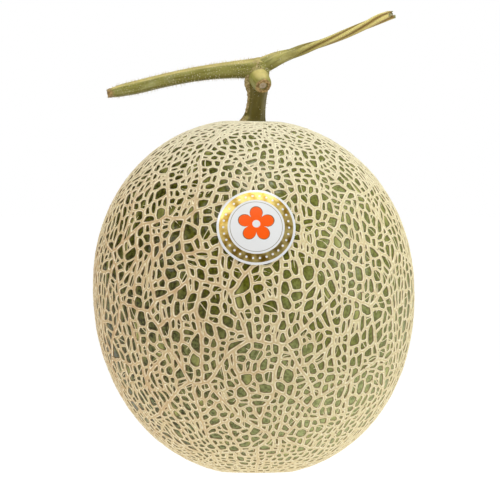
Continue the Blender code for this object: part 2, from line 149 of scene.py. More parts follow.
# The vine: routes as x, y, z and radius in mm
VINE_RIBS = 5
ROUTE_STEP = 0.45 * MM
ROUTE_SAMPLES = 24             # between two points of a route, before it is spaced evenly
BLOCK = 8000                   # points of the vine looked at together
HOLLOW_RINGS = ((1.0, 0.0), (0.8, 1.0), (0.3, 1.2))    # shares of a pit's radius and of its depth
FRESH_ARM = ((2.0, 0.0, 194.6, 4.9), (-4.0, 0.0, 193.9, 4.6), (-11.8, 0.0, 193.4, 4.1),
             (-23.3, 0.0, 192.2, 3.6), (-34.8, 0.2, 190.3, 3.35), (-46.4, 0.8, 187.8, 3.25),
             (-57.0, 1.0, 185.2, 3.2), (-64.0, 0.6, 183.7, 2.95), (-68.6, 0.3, 182.6, 2.45),
             (-71.8, 0.0, 181.9, 1.95))
DRIED_ARM = ((-1.0, 0.0, 194.2, 4.2), (4.5, 0.0, 196.4, 3.9), (10.0, -0.2, 198.6, 3.4),
             (17.0, -0.6, 201.2, 2.9), (25.8, -0.8, 204.4, 2.4), (34.0, -0.4, 207.2, 2.1),
             (43.1, 0.4, 210.8, 2.2), (52.0, 0.9, 214.6, 2.3), (59.0, 0.9, 217.8, 2.45),
             (63.6, 0.7, 219.5, 2.2))
STALK = ((-1.5, 0.0, 167.3, 6.8), (-1.2, 0.0, 168.7, 6.0), (-0.7, 0.0, 170.8, 5.0),
         (-0.2, 0.0, 174.0, 4.45), (0.5, 0.0, 179.2, 4.2), (1.0, 0.0, 184.0, 4.5),
         (0.8, 0.0, 189.0, 5.0), (0.4, 0.0, 193.6, 4.6))
LEAF_STUB = ((0.7, 0.8, 191.6, 4.6), (1.5, -3.6, 189.2, 4.75), (2.5, -7.4, 187.1, 4.6),
             (3.1, -9.6, 185.9, 4.1), (3.4, -10.7, 185.3, 3.3))
NODE_SWELLING = ((0.0, 0.0, 187.5, 3.2), (0.4, 0.0, 190.0, 5.0), (0.6, 0.0, 192.4, 5.6),
                 (0.6, 0.0, 194.8, 4.9), (0.6, 0.0, 196.8, 2.6))
CORK_RIDGE = ((-6.8, -1.0, 167.8, 1.7), (-5.6, -1.2, 169.6, 1.5), (-4.5, -1.2, 172.5, 1.2),
              (-3.6, -1.2, 178.0, 0.9), (-3.6, -1.5, 183.0, 1.1), (-4.3, -2.2, 187.0, 1.5),
              (-4.0, -2.8, 190.2, 1.1), (-3.2, -2.6, 192.0, 0.5))
LEAF_SCAR = ((-4.4, -2.2, 192.4, 0.5), (-3.1, -3.5, 194.2, 0.95), (-1.2, -3.9, 195.4, 0.7),
             (1.6, -3.3, 196.6, 1.1), (4.4, -2.4, 195.2, 0.6), (5.5, -1.7, 192.2, 0.8),
             (5.3, -1.2, 188.4, 0.5))
STRANDS = (
    # the dried ribs: share of a turn round the arm, share of its radius, reach past its end and
    # outward bend there in mm
    (0.96, 0.47, 2.9, 0.5),
    (0.195, 0.50, 1.4, 0.9),
    (0.455, 0.52, 3.1, 0.4),
    (0.72, 0.51, 2.0, 0.7),
)
STRAND_EVERY = 4               # every so many points of the arm's route make one of the strand's
STRAND_RISE = (0.2, 0.36)      # along the arm, a strand begins to come out of it and is wholly out
STRAND_SUNK = 0.3              # how deep it lies in the arm before that, in the arm's radius
STRAND_TIPS = ((0.5, 0.85), (1.0, 0.62))   # past the arm's end: share of its reach and thickness
STRAND_REACH = 1.04            # how far a strand's outer side is from the arm's middle, in its radius
CORE_NARROWS = (11, 30)        # the arm's core gets thinner between these x in mm
CORE_SHARE = 0.5               # down to this share of the arm's radius
DRIED_TWIST = -0.7             # turns of the ribs along the dried arm
STRANDS_FIRST = 2.0            # how much nearer another shoot must be to own a point than a strand
FURROW_TOP = 1.08              # furrows start this far from the arm's middle, in its radius
FURROW_DEPTH = 0.24
FURROWS_FROM = (8 * MM, 24 * MM)       # along x, none of them and all of their darkness
# Each pair says where a look has not begun and where it is whole, along x, z or the normal's z
BARK_LIP_X = (-4.2 * MM, -5.7 * MM)
BARK_LIP_Z = (173 * MM, 169 * MM)
LIP_BARK = 0.6
# Painted light on the upward faces of the left arm, and painted shade under every shoot
LIT_TOP_SLOPE = (0.45, 0.75)
LIT_TOP_X = (16 * MM, 2 * MM)
SHADE_SLOPE = (-0.15, -0.75)
SHADE_MOST = 0.75
DRYING = (0, 0.12, 0.45, 1)            # shares of a shoot's length where its dryness is set
PITH_EDGE = 0.97                       # the pith ends here, in the pit's radius, over this blur
PITH_BLUR = 0.12
PITH_DEPTH = 1.9 * MM                  # none further than this from the cut
SCAR_SIZE = 1.3 * MM           # how wide the uneven places of bark and cuts are
CRUMB_SIZE = 0.6 * MM
FIBRE_SIZE = (0.7 * MM, 0.7 * MM, 9 * MM)
BARK_ROUGH = (0.4, 0.2)        # heights in mm of their scars and of their crumbs
CUT_ROUGH = (0.38, 0.25)
FIBRE_ROUGH = 0.06
EVEN_ROUNDS = 4
SOFTEN_ROUNDS = 4
VOXEL = 0.25 * MM
HAIRS_FROM = 5 * MM            # above the foot of the stalk
HAIR_LEAN = 0.6                # most lean to a side, in radians
HAIR_TURN = 6.28               # and most turn about the hair, a full one
HAIR_SIZES = (0.55, 1.0)       # shortest and longest, against the set length
HAIR_SEED = 7
HAIR_TILT_SEED = 3
HAIR_SIZE_SEED = 5

# The label, with radii in mm
LABEL_SIDES = 128
LABEL_RADII = (1.5, 3.0, 4.5, 6.0, 7.5, 9.0, 10.5, 12.0, 13.3, 14.3, 15.4, 16.5, 17.4, 18.0, 18.4,
               18.55)
LABEL_HALF = 1 + len(LABEL_RADII) * LABEL_SIDES        # points on each of its two faces
FOIL_INNER = 13.3
FOIL_OUTER = 17.4
FOIL_MIDDLE = (FOIL_INNER + FOIL_OUTER) / 2
FOIL_DOTS = 30
LABEL_DROOP = 0.04 * MM        # how far its edge bends down
LABEL_BOX_FRONT = -72 * MM
LABEL_BACK = 0.98 * MM
LABEL_FRONT = 1.16 * MM
LABEL_RISE = 1.4 * MM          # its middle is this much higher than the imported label's
LABEL_SHARP = math.radians(40)

# The studio, with the camera where the photo was taken from
CAMERA_DISTANCE = 4.0
CAMERA_HEIGHT_ANGLE = 1.0      # degrees above level
CAMERA_REACH = (0.05, 50.0)
SENSOR_WIDTH = 36.0
PHOTO_SIDE = 500
PIXEL = 0.4815 * MM
AXIS_COLUMN = 256.4            # where the photo has the frame's x = 0 and z = 0, in pixels
TABLE_ROW = 471.5
FRAME_CENTRE = ((PHOTO_SIDE / 2 - AXIS_COLUMN) * PIXEL, (TABLE_ROW - PHOTO_SIDE / 2) * PIXEL)
FLOOR_HALF = 9.0               # half the side of the floor in metres
WHITE = (1.0, 1.0, 1.0, 1.0)
LIGHTS = (
    # name, the setting of its power, place, size in metres and colour
    ("right light", "right_power", (1.25, -0.30, 0.45), (0.3, 0.5), (0.96, 1.0, 0.97)),
    ("left light", "left_power", (-1.25, -0.64, 0.63), (0.6, 0.18), (1.0, 0.98, 0.94)),
    ("top light", "top_power", (0.15, -0.35, 1.5), (0.5, 0.5), (0.96, 1.0, 1.0)),
    ("lamp", "lamp_power", (-0.45, -0.75, 0.95), (0.12, 0.12), (1.0, 0.98, 0.95)),
)


def linear(hex_colour):
    """An sRGB hex colour as linear red, green, blue and alpha."""
    channels = [int(hex_colour[i:i + 2], 16) / 255 for i in (0, 2, 4)]
    return (*[c / 12.92 if c <= 0.04045 else ((c + 0.055) / 1.055) ** 2.4 for c in channels], 1.0)


def colour_setting(name, description, hex_colour):
    return bpy.props.FloatVectorProperty(name=name, description=description, subtype="COLOR", size=4,
                                         min=0.0, max=1.0, default=linear(hex_colour))


def number_setting(name, description, default, **more):
    return bpy.props.FloatProperty(name=name, description=description, default=default, **more)


def length_setting(name, description, millimetres):
    return number_setting(name, description, millimetres * MM, unit="LENGTH")


class FruitSettings(bpy.types.PropertyGroup):
    skin_radius: length_setting("Skin Radius", "Half the width of the skin at its widest", 76.93)
    crown_height: length_setting("Crown Height", "From the widest place up to the skin at the stalk", 80.8)
    base_depth: length_setting("Base Depth", "From the widest place down to the blossom end", 89.7)
    lump_height: length_setting("Lump Height", "Slow unevenness of the skin", 0.45)
    dimple_depth: length_setting("Dimple Depth", "How far the skin sinks round the stalk", 1.6)
    dimple_radius: length_setting("Dimple Radius", "How wide that dimple is", 10.0)
    cell_area: number_setting("Cell Area", "An opening of the net larger than this cracks again",
                              37.5 * MM * MM, unit="AREA")
    crowding: number_setting("Crowding", "Share of that area left at the two ends of the fruit",
                             0.40, subtype="FACTOR", min=0.1, max=1.0)
    ridge_scale: number_setting("Ridge Scale", "Width of the net's ridges against the usual one",
                                1.0, subtype="FACTOR", min=0.3, max=1.5)
    thread_radius: length_setting("Thread Radius", "Half the width of the fine threads", 0.30)
    skin_green: colour_setting("Skin Green", "Usual colour of the skin", "6E701C")
    # Also the painted shade that darkens the skin towards the fruit's left
    skin_deep_and_shade: colour_setting("Skin Deep Green And Shade", "Dark mottling of the skin", "322F06")
    # Painted light: this paler green lightens the skin at the top, at the right and low down
    skin_pale_and_light: colour_setting("Skin Pale Green And Light", "Paler green at the sunny side and below", "A8AE72")
    skin_streak: colour_setting("Skin Streaks", "Yellow-green streaks of the skin", "B5B468")
    cork_pale: colour_setting("Cork", "Usual colour of the net", "E3DAAD")
    # Also the painted shade of the net at the fruit's left and on the lower flanks of its ridges
    cork_tan_and_shade: colour_setting("Cork Tan", "Darker patches of the net", "CCAA7E")
    cork_yellow: colour_setting("Cork Yellow", "The finest and youngest ridges", "E2DAA8")
    cork_groove: colour_setting("Cork Groove", "Along the middle of broad ridges", "C9AD84")
    # Painted highlight along the rims of the ridges
    cork_rim_highlight: colour_setting("Cork Rim", "The light rims of the ridges", "FFF7DA")
    # Painted top light: cork made whiter towards the top of the fruit
    cork_top_light: colour_setting("Cork White", "Bleached cork round the stalk", "F0ECDA")
    # Painted light: creamier cork at the fruit's right and low down
    cork_cream_light: colour_setting("Cork Cream", "Cork of the sunny side and of the lowest part", "EBDDAE")
    cork_pore: colour_setting("Cork Pores", "Tiny dark pores in the net", "6E5230")
    # Painted shade where the net meets the skin, and its lighter brown kind on the underside
    cork_foot_shade: colour_setting("Cork Foot", "Where the net meets the skin", "30260A")
    foot_low_shade: colour_setting("Low Cork Foot", "The same on the fruit's underside", "5C4718")


class VineSettings(bpy.types.PropertyGroup):
    green: colour_setting("Green", "Living stem", "98944A")
    # Also the painted shade under the living stem
    green_deep_and_shade: colour_setting("Deep Green", "Furrows of the living stem", "665F18")
    green_pale: colour_setting("Pale Green", "Bloom on the living stem", "B6B582")
    # Painted light: yellow on the upper side of the stem
    lit_top_side: colour_setting("Ripe Side", "Yellowed upper side of the stem", "DECC80")
    stalk_olive: colour_setting("Olive", "The stalk", "5E520C")
    bark_deep: colour_setting("Deep Bark", "Cracks in the corky places", "7A6034")
    bark_tan: colour_setting("Bark", "Scars and corky places", "C2AE80")
    cut_tan: colour_setting("Cut", "Dried cut faces", "B4955F")
    pith_pale: colour_setting("Pith", "Dried middle of the cut stem", "D8D0C0")
    straw: colour_setting("Straw", "Dried stem", "FFF098")
    # Also the painted shade under the dried stem
    amber: colour_setting("Amber", "Furrows of the dried stem", "765004")
    tip: colour_setting("Tips", "Torn ends of the dried ribs", "8E8C5C")
    hair: colour_setting("Hair", "Hairs on the stem", "EEE8C8")
    hair_tan: colour_setting("Dry Hair", "Dried hairs", "CDB88A")
    hair_density: number_setting("Hair Density", "Hairs on each square metre of the hairiest part", 1.2e6)
    hair_spacing: length_setting("Hair Spacing", "No two hairs stand closer than this", 1.0)
    hair_length: length_setting("Hair Length", "Length of the longest hairs", 1.7)
    hair_thickness: length_setting("Hair Thickness", "Radius of a hair at its root", 0.16)


class LabelSettings(bpy.types.PropertyGroup):
    paper: colour_setting("Paper", "White of the label", "E8E8E9")
    ink: colour_setting("Ink", "The blossom on the label", "FF5E00")
    outline: colour_setting("Outline", "Thin line round the blossom", "6A5312")
    foil: colour_setting("Foil", "Light patches of the foil", "E4CC80")
    foil_deep: colour_setting("Deep Foil", "Dark patches of the foil", "A88430")


class StageSettings(bpy.types.PropertyGroup):
    floor: colour_setting("Floor", "Light table that the fruit stands on", "6C6B69")
    room: colour_setting("Room", "Colour of the room's soft light", "FFFBF0")
    sky_strength: number_setting("Room Light", "Strength of the room at the right of the fruit", 0.30)
    left_strength: number_setting("Left Side", "Strength of the room at the left", 0.12)
    front_strength: number_setting("Dark Side", "Strength of the room behind the camera", 0.06)
    floor_glow: number_setting("Table Glow", "Light that the lit table gives of itself", 0.97)
    right_power: number_setting("Right Light", "Power of the soft light at the right", 5.4, unit="POWER")
    left_power: number_setting("Left Light", "Power of the soft light at the left", 3.8, unit="POWER")
    top_power: number_setting("Top Light", "Power of the soft light overhead", 12.0, unit="POWER")
    lamp_power: number_setting("Lamp", "Power of the smaller light at the upper left", 2.0, unit="POWER")


# Node trees

def add(tree, kind, inputs=(), **settings):
    """Add a node with its settings; inputs are values or sockets, by order or by name."""
    node = tree.nodes.new(kind)
    for key, value in settings.items():
        setattr(node, key, value)
    pairs = inputs.items() if isinstance(inputs, dict) else enumerate(inputs)
    for key, value in pairs:
        if isinstance(value, bpy.types.NodeSocket):
            tree.links.new(value, node.inputs[key])
        elif value is not None:
            node.inputs[key].default_value = value
    return node


KINDS = {
    # a step's word for a node: its type, the inputs given in order, its output and its settings
    "range": ("ShaderNodeMapRange", range(5), 0, {}),
    "noise": ("ShaderNodeTexNoise", ("Vector", "Scale", "Detail"), 0, {}),
    "cells": ("ShaderNodeTexVoronoi", ("Vector", "Scale"), "Distance", {}),
    "mix": ("ShaderNodeMix", (0, 6, 7), 2, {"data_type": "RGBA"}),
    "blend": ("ShaderNodeMix", (0, 2, 3), 0, {"data_type": "FLOAT"}),
    "bump": ("ShaderNodeBump", ("Strength", "Distance", "Height"), 0, {}),
    "point": ("ShaderNodeCombineXYZ", range(3), 0, {}),
    "times": ("ShaderNodeVectorMath", (0, 1), 0, {"operation": "MULTIPLY"}),
    "plus": ("ShaderNodeVectorMath", (0, 1), 0, {"operation": "ADD"}),
    "scaled": ("ShaderNodeVectorMath", (0, 3), 0, {"operation": "SCALE"}),
    "length": ("ShaderNodeVectorMath", (0,), "Value", {"operation": "LENGTH"}),
}


def run_steps(tree, known, steps):
    """Add a node for each step; the step's name then stands for its output.

    A step holds a name, a word of KINDS or an operation of the Math node, and the inputs in order,
    as values or as names of what is known. "clamped" before an operation keeps it in 0 to 1.
    """
    for name, kind, *inputs in steps:
        math_settings = {"operation": kind.split()[-1], "use_clamp": kind.startswith("clamped")}
        sort, keys, output, settings = KINDS.get(kind, ("ShaderNodeMath", range(3), 0, math_settings))
        given = {key: known.get(value, value) for key, value in zip(keys, inputs)}
        known[name] = add(tree, sort, given, **settings).outputs[output]


def layered(name, base, *layers):
    """Steps that lay colours over a base one by one, each by its share."""
    under = [base] + [name] * len(layers)
    return tuple((name, "mix", share, below, over) for below, (share, over) in zip(under, layers))


def setting_values(settings):
    return {name: getattr(settings, name) for name in settings.__annotations__}


def painted(name, settings, steps, surface, facts=(), chart=None):
    """A material made by steps; surface gives the shader's inputs, as values or known names.

    The steps know the settings, the attributes in facts, of which only grain is a vector,
    and place with its x, y and z, in the object's own space or, with a chart, on that UV map.
    """
    material = bpy.data.materials.new(name)
    material.use_nodes = True
    tree = material.node_tree
    tree.nodes.clear()
    known = setting_values(settings)
    for fact in facts:
        reader = add(tree, "ShaderNodeAttribute", attribute_name=fact)
        known[fact] = reader.outputs["Vector" if fact == "grain" else "Fac"]
    if chart:
        known["place"] = add(tree, "ShaderNodeUVMap", uv_map=chart).outputs[0]
    else:
        known["place"] = add(tree, "ShaderNodeTexCoord").outputs["Object"]
    known["x"], known["y"], known["z"] = add(tree, "ShaderNodeSeparateXYZ", (known["place"],)).outputs
    run_steps(tree, known, steps)
    inputs = {key: known.get(value, value) for key, value in surface.items()}
    shader = add(tree, "ShaderNodeBsdfPrincipled", inputs)
    add(tree, "ShaderNodeOutputMaterial", (shader.outputs[0],))
    return material


SOCKET_KINDS = {"Geometry": "NodeSocketGeometry", "Material": "NodeSocketMaterial", "Seed": "NodeSocketInt"}


def new_tree(name, sizes):
    """A Geometry Nodes tree with the sizes as named inputs, and its inputs' sockets."""
    tree = bpy.data.node_groups.new(name, "GeometryNodeTree")
    tree.interface.new_socket("Geometry", in_out="OUTPUT", socket_type="NodeSocketGeometry")
    for label in ("Geometry", *sizes, "Material"):
        kind = SOCKET_KINDS.get(label, "NodeSocketFloat")
        tree.interface.new_socket(label, in_out="INPUT", socket_type=kind)
    return tree, add(tree, "NodeGroupInput").outputs


def finish_tree(tree, geometry, material):
    """End a tree with real geometry in its material."""
    real = add(tree, "GeometryNodeRealizeInstances", (geometry,))
    coated = add(tree, "GeometryNodeSetMaterial", {"Geometry": real.outputs[0], "Material": material})
    add(tree, "NodeGroupOutput", (coated.outputs[0],))
    return tree


def grown_by(thing, tree, values):
    """Run a node tree on a piece with the given inputs, and make the result plain."""
    grower = thing.modifiers.new(tree.name, "NODES")
    grower.node_group = tree
    for item in tree.interface.items_tree:
        if item.item_type == "SOCKET" and item.in_out == "INPUT" and item.name in values:
            grower[item.identifier] = values[item.name]
    return made_plain(thing)


# Meshes and pieces

def link_object(name, mesh):
    thing = bpy.data.objects.new(name, mesh)
    bpy.context.scene.collection.objects.link(thing)
    return thing


def mesh_of(name, shape):
    """A mesh from a bmesh, which is then freed."""
    mesh = bpy.data.meshes.new(name)
    shape.to_mesh(mesh)
    shape.free()
    return mesh


def read_out(items, name, width, kind=float):
    """One property of all the items of a mesh, as an array with a row for each."""
    values = np.zeros(len(items) * width, kind)
    items.foreach_get(name, values)
    return values.reshape(-1, width)


def write_facts(mesh, facts):
    """Store numbers on a mesh's points under their names, one for each point or one for all."""
    for name, values in facts.items():
        spread = np.full(len(mesh.vertices), values, np.float32)
        mesh.attributes.new(name, "FLOAT", "POINT").data.foreach_set("value", spread)


def mesh_from_faces(name, places, faces, facts):
    """A mesh from arrays; faces is a list of index arrays with 3 or 4 columns."""
    mesh = bpy.data.meshes.new(name)
    mesh.vertices.add(len(places))
    mesh.vertices.foreach_set("co", np.asarray(places, np.float32).ravel())
    corners = np.concatenate([block.ravel() for block in faces])
    sizes = np.concatenate([np.full(len(block), block.shape[1]) for block in faces])
    mesh.loops.add(len(corners))
    mesh.loops.foreach_set("vertex_index", corners.astype(np.int32))
    mesh.polygons.add(len(sizes))
    starts = np.concatenate(([0], np.cumsum(sizes)[:-1]))
    mesh.polygons.foreach_set("loop_start", starts.astype(np.int32))
    mesh.update(calc_edges=True)
    mesh.validate()
    write_facts(mesh, facts)
    mesh.shade_smooth()
    return mesh


def made_plain(thing):
    """The evaluated object as a plain mesh under the same name, with no modifiers."""
    name = thing.name
    graph = bpy.context.evaluated_depsgraph_get()
    mesh = bpy.data.meshes.new_from_object(thing.evaluated_get(graph), preserve_all_data_layers=True,
                                           depsgraph=graph)
    bpy.data.objects.remove(thing, do_unlink=True)
    mesh.name = name
    return link_object(name, mesh)


def ramp(values, start, whole):
    """0 up to the start and 1 from where it is whole, with an even rise between."""
    return np.clip((values - start) / (whole - start), 0, 1)


def on_root(thing, node=None):
    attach(thing, ROOT)
    if node:
        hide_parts(node)


# The fruit's form as a node tree

FORM_STEPS = (
    # x, y and z are the direction on the unit sphere
    ("upper", "GREATER_THAN", "z", 0.0),
    ("fuller", "SUBTRACT", "Crown Fullness", "Base Fullness"),
    ("power", "MULTIPLY_ADD", "upper", "fuller", "Base Fullness"),
    ("taller", "SUBTRACT", "Crown Height", "Base Depth"),
    ("reach", "MULTIPLY_ADD", "upper", "taller", "Base Depth"),
    ("drift", "MULTIPLY", "z", "Lean"),
    ("side", "SUBTRACT", "x", "drift"),
    ("side squared", "MULTIPLY", "side", "side"),
    ("flat squared", "MULTIPLY_ADD", "y", "y", "side squared"),
    ("flat", "SQRT", "flat squared"),
    ("across", "DIVIDE", "flat", "Skin Radius"),
    ("across term", "POWER", "across", "power"),
    ("height", "ABSOLUTE", "z"),
    ("along", "DIVIDE", "height", "reach"),
    ("along term", "POWER", "along", "power"),
    ("terms", "ADD", "across term", "along term"),
    ("root", "DIVIDE", -1.0, "power"),
    ("smooth distance", "POWER", "terms", "root"),
    ("wave a", "MULTIPLY_ADD", "x", 3.1, 0.4),
    ("wave b", "MULTIPLY_ADD", "z", 1.7, "wave a"),
    ("wave c", "SINE", "wave b"),
    ("wave d", "MULTIPLY_ADD", "y", 2.6, -0.8),
    ("wave e", "COSINE", "wave d"),
    ("wave f", "MULTIPLY", "x", 2.2),
    ("wave g", "MULTIPLY_ADD", "y", 4.3, "wave f"),
    ("wave h", "SINE", "wave g"),
    ("slow", "MULTIPLY_ADD", "wave c", "wave e", "wave h"),
    ("z squared", "MULTIPLY", "z", "z"),
    ("middle", "SUBTRACT", 1.0, "z squared"),
    ("lump share", "MULTIPLY", "slow", "middle"),
    ("lumpy distance", "MULTIPLY_ADD", "lump share", "Lump Height", "smooth distance"),
    ("stalk x", "MULTIPLY_ADD", "x", "smooth distance", "Stalk Offset"),
    ("stalk y", "MULTIPLY", "y", "smooth distance"),
    ("stalk x squared", "MULTIPLY", "stalk x", "stalk x"),
    ("stalk squared", "MULTIPLY_ADD", "stalk y", "stalk y", "stalk x squared"),
    ("dimple squared", "MULTIPLY", "Dimple Radius", "Dimple Radius"),
    ("dimple place", "DIVIDE", "stalk squared", "dimple squared"),
    ("dimple fall", "MULTIPLY", "dimple place", -1.0),
    ("dimple shape", "EXPONENT", "dimple fall"),
    ("dimple share", "MULTIPLY", "dimple shape", "upper"),
    ("dimple", "MULTIPLY", "dimple share", "Dimple Depth"),
    ("skin distance", "SUBTRACT", "lumpy distance", "dimple"),
    ("distance", "ADD", "skin distance", "lift"),
    ("lowest", "SUBTRACT", "Rest Clearance", "lift"),
    ("floor", "MAXIMUM", "lowest", 0.0),
    ("arm", "scaled", "way", "distance"),
    ("place", "plus", "arm", tuple(FRUIT_CENTRE)),
)


def fruit_form_tree(sizes):
    """Moves points from the unit sphere onto the fruit, lifted off its skin by their own lift."""
    tree, given = new_tree("Fruit Form", sizes)
    position = add(tree, "GeometryNodeInputPosition")
    way = add(tree, "ShaderNodeVectorMath", (position.outputs[0],), operation="NORMALIZE")
    lift = add(tree, "GeometryNodeInputNamedAttribute", {"Name": "lift"}, data_type="FLOAT")
    known = {name: given[name] for name in sizes}
    known["lift"] = lift.outputs["Attribute"]
    known["way"] = way.outputs[0]
    known["x"], known["y"], known["z"] = add(tree, "ShaderNodeSeparateXYZ", (known["way"],)).outputs
    run_steps(tree, known, FORM_STEPS)
    x, y, z = add(tree, "ShaderNodeSeparateXYZ", (known["place"],)).outputs
    high = add(tree, "ShaderNodeMath", (z, known["floor"]), operation="MAXIMUM")
    rested = add(tree, "ShaderNodeCombineXYZ", (x, y, high.outputs[0]))
    moved = add(tree, "GeometryNodeSetPosition",
                {"Geometry": given["Geometry"], "Position": rested.outputs[0]})
    return finish_tree(tree, moved.outputs[0], given["Material"])


def take_fruit_form(thing, material):
    """Give a piece drawn on the unit sphere the fruit's form, and make it plain."""
    fruit = bpy.context.scene.melon_fruit
    sizes = {
        "Skin Radius": fruit.skin_radius, "Crown Height": fruit.crown_height,
        "Base Depth": fruit.base_depth, "Crown Fullness": CROWN_FULLNESS,
        "Base Fullness": BASE_FULLNESS, "Lean": LEAN, "Lump Height": fruit.lump_height,
        "Stalk Offset": float(FRUIT_CENTRE[0]) - STALK_X, "Dimple Depth": fruit.dimple_depth,
        "Dimple Radius": fruit.dimple_radius, "Rest Clearance": REST_CLEARANCE,
    }
    tree = bpy.data.node_groups.get("Fruit Form") or fruit_form_tree(sizes)
    return grown_by(thing, tree, {**sizes, "Material": material})


def rough_reach(directions):
    """About how far the skin is from the fruit's centre, for turning lengths into angles."""
    fruit = bpy.context.scene.melon_fruit
    dx, dy, dz = np.asarray(directions).T
    tall = np.where(dz > 0, fruit.crown_height, fruit.base_depth)
    return 1 / np.sqrt((dx ** 2 + dy ** 2) / fruit.skin_radius ** 2 + dz ** 2 / tall ** 2)


def unit(vector):
    return vector / np.linalg.norm(vector)


def direction_to(x, y, z):
    return unit(np.array((x, y, z)) - FRUIT_CENTRE)


# The net: cells on the unit sphere that crack again and again

def pair(a, b):
    """Two junctions in order, the key of the ridge between them."""
    return min(a, b), max(a, b)


class Cell:
    """One opening of the net; its path says which halves it came from."""

    def __init__(self, loop, depth, path, family, whole=False):
        self.loop = loop
        self.depth = depth
        self.path = path
        self.family = family
        self.whole = whole

    def sides(self):
        return zip(self.loop, self.loop[1:] + self.loop[:1])


class Net:
    """Junctions of the ridges as unit vectors, and the cells that the ridges enclose."""

    def __init__(self):
        self.points = []
        self.cells = []
        self.cuts = {}
        self.depth = {}

    def chain(self, a, b):
        middle = self.cuts.get(pair(a, b))
        if middle is None:
            return [a]
        return self.chain(a, middle) + self.chain(middle, b)

    def grown_loop(self, cell):
        """The cell's corners with the junctions that its neighbours have since added."""
        return [corner for a, b in cell.sides() for corner in self.chain(a, b)]

    def cut(self, a, b, share):
        middle = len(self.points)
        self.points.append(unit(self.points[a] * (1 - share) + self.points[b] * share))
        self.cuts[pair(a, b)] = middle
        for end in (a, b):
            self.depth[pair(end, middle)] = self.depth[pair(a, b)]
        return middle

    def edges(self):
        """Each ridge once, in the order of the cells."""
        found = {}
        for cell in self.cells:
            for a, b in cell.sides():
                found[pair(a, b)] = True
        return list(found)


def tangent_frame(centre):
    """East and north at a direction on the sphere."""
    east = unit(np.array((-centre[1], centre[0], 0.0)))
    return east, np.cross(centre, east)


def flatten(points):
    """Corners in the plane that touches the sphere at their middle, and that plane's axes."""
    centre = unit(points.mean(axis=0))
    east, north = tangent_frame(centre)
    scaled = points / (points @ centre)[:, None]
    return np.stack((scaled @ east, scaled @ north), axis=1), centre, east, north


def polygon_moments(corners):
    """Area, middle and second moments of a flat polygon."""
    x0, y0 = corners.T
    x1, y1 = np.roll(corners, -1, axis=0).T
    cross = x0 * y1 - x1 * y0
    area = cross.sum() / 2
    middle = np.array((((x0 + x1) * cross).sum(), ((y0 + y1) * cross).sum())) / (6 * area)
    xx = ((x0 * x0 + x0 * x1 + x1 * x1) * cross).sum() / 12 - area * middle[0] ** 2
    yy = ((y0 * y0 + y0 * y1 + y1 * y1) * cross).sum() / 12 - area * middle[1] ** 2
    xy = ((x0 * y1 + 2 * x0 * y0 + 2 * x1 * y1 + x1 * y0) * cross).sum() / 24
    return area, middle, xx, yy, xy - area * middle[0] * middle[1]


def seed_directions(dice):
    """Even directions with some disorder, and a ring round each bare round place."""
    stalk = direction_to(STALK_X, 0.0, EQUATOR_Z + CROWN_HEIGHT)
    rest = direction_to(0.0, 0.0, 0.0)
    rings = ((stalk, STALK_SEAT / CROWN_HEIGHT), (rest, REST_SPOT / EQUATOR_Z))
    seeds = []
    for axis, angle in rings:
        east, north = tangent_frame(axis)
        seeds.append(axis)
        for i in range(RING_SIDES):
            turn = 2 * math.pi * i / RING_SIDES
            side = east * math.cos(turn) + north * math.sin(turn)
            seeds.append(axis * math.cos(2 * angle) + side * math.sin(2 * angle))
    golden = math.pi * (3 - math.sqrt(5))
    for i in range(PRIMARY_CELLS):
        height = 1 - (2 * i + 1) / PRIMARY_CELLS
        turn = i * golden
        flat = math.sqrt(1 - height * height)
        way = np.array((flat * math.cos(turn), flat * math.sin(turn), height))
        way = unit(way + np.array([dice.gauss(0, SEED_JITTER) for _ in range(3)]))
        if all(way @ axis < math.cos(RING_CLEARANCE * angle) for axis, angle in rings):
            seeds.append(way)
    return seeds


def first_cracks(net, seeds):
    """Primary cells: the areas nearest to each seed, from the seeds' convex hull.

    The hull gives its faces in any order, so they are sorted, or each run would grow another net.
    """
    hull = bmesh.new()
    for seed in seeds:
        hull.verts.new(seed)
    bmesh.ops.convex_hull(hull, input=hull.verts)
    bmesh.ops.triangulate(hull, faces=hull.faces)
    hull.verts.index_update()
    hull.verts.ensure_lookup_table()
    ordered = sorted(hull.faces, key=lambda face: sorted(vert.index for vert in face.verts))
    for number, face in enumerate(ordered):
        face.index = number
        a, b, c = (seeds[index] for index in sorted(vert.index for vert in face.verts))
        out = unit(np.cross(b - a, c - a))
        net.points.append(out if out @ (a + b + c) > 0 else -out)
    for index, seed in enumerate(seeds):
        east, north = tangent_frame(seed)
        corners = [face.index for face in hull.verts[index].link_faces]
        corners.sort(key=lambda c: math.atan2(net.points[c] @ north, net.points[c] @ east))
        family = int((math.atan2(seed[1], seed[0]) / (2 * math.pi) + 0.5) * SECTORS) % SECTORS
        whole = index in (0, RING_SIDES + 1)
        net.cells.append(Cell(corners, 0, index + 1, family, whole))
    hull.free()
    for edge in net.edges():
        net.depth[edge] = 0


def chord_through(corners, point, along):
    """The two sides of a flat polygon that a line crosses, each with its share."""
    across = np.array((-along[1], along[0]))
    height = (corners - point) @ across
    hits = []
    for i in range(len(corners)):
        j = (i + 1) % len(corners)
        if (height[i] > 0) != (height[j] > 0):
            hits.append((i, height[i] / (height[i] - height[j])))
    return hits


def neatness(corners, hits):
    """How squarely a crack meets the two sides, less where it cuts off a bare corner."""
    sides, ends = [], []
    for side, share in hits:
        start, end = corners[side], corners[(side + 1) % len(corners)]
        sides.append(unit(end - start))
        ends.append(start * (1 - share) + end * share)
    run = unit(ends[1] - ends[0])
    square = min(abs(run[0] * side[1] - run[1] * side[0]) for side in sides)
    between = hits[1][0] - hits[0][0]
    bare = min(between, len(corners) - between) == 1
    return square - CORNER_COST * bare


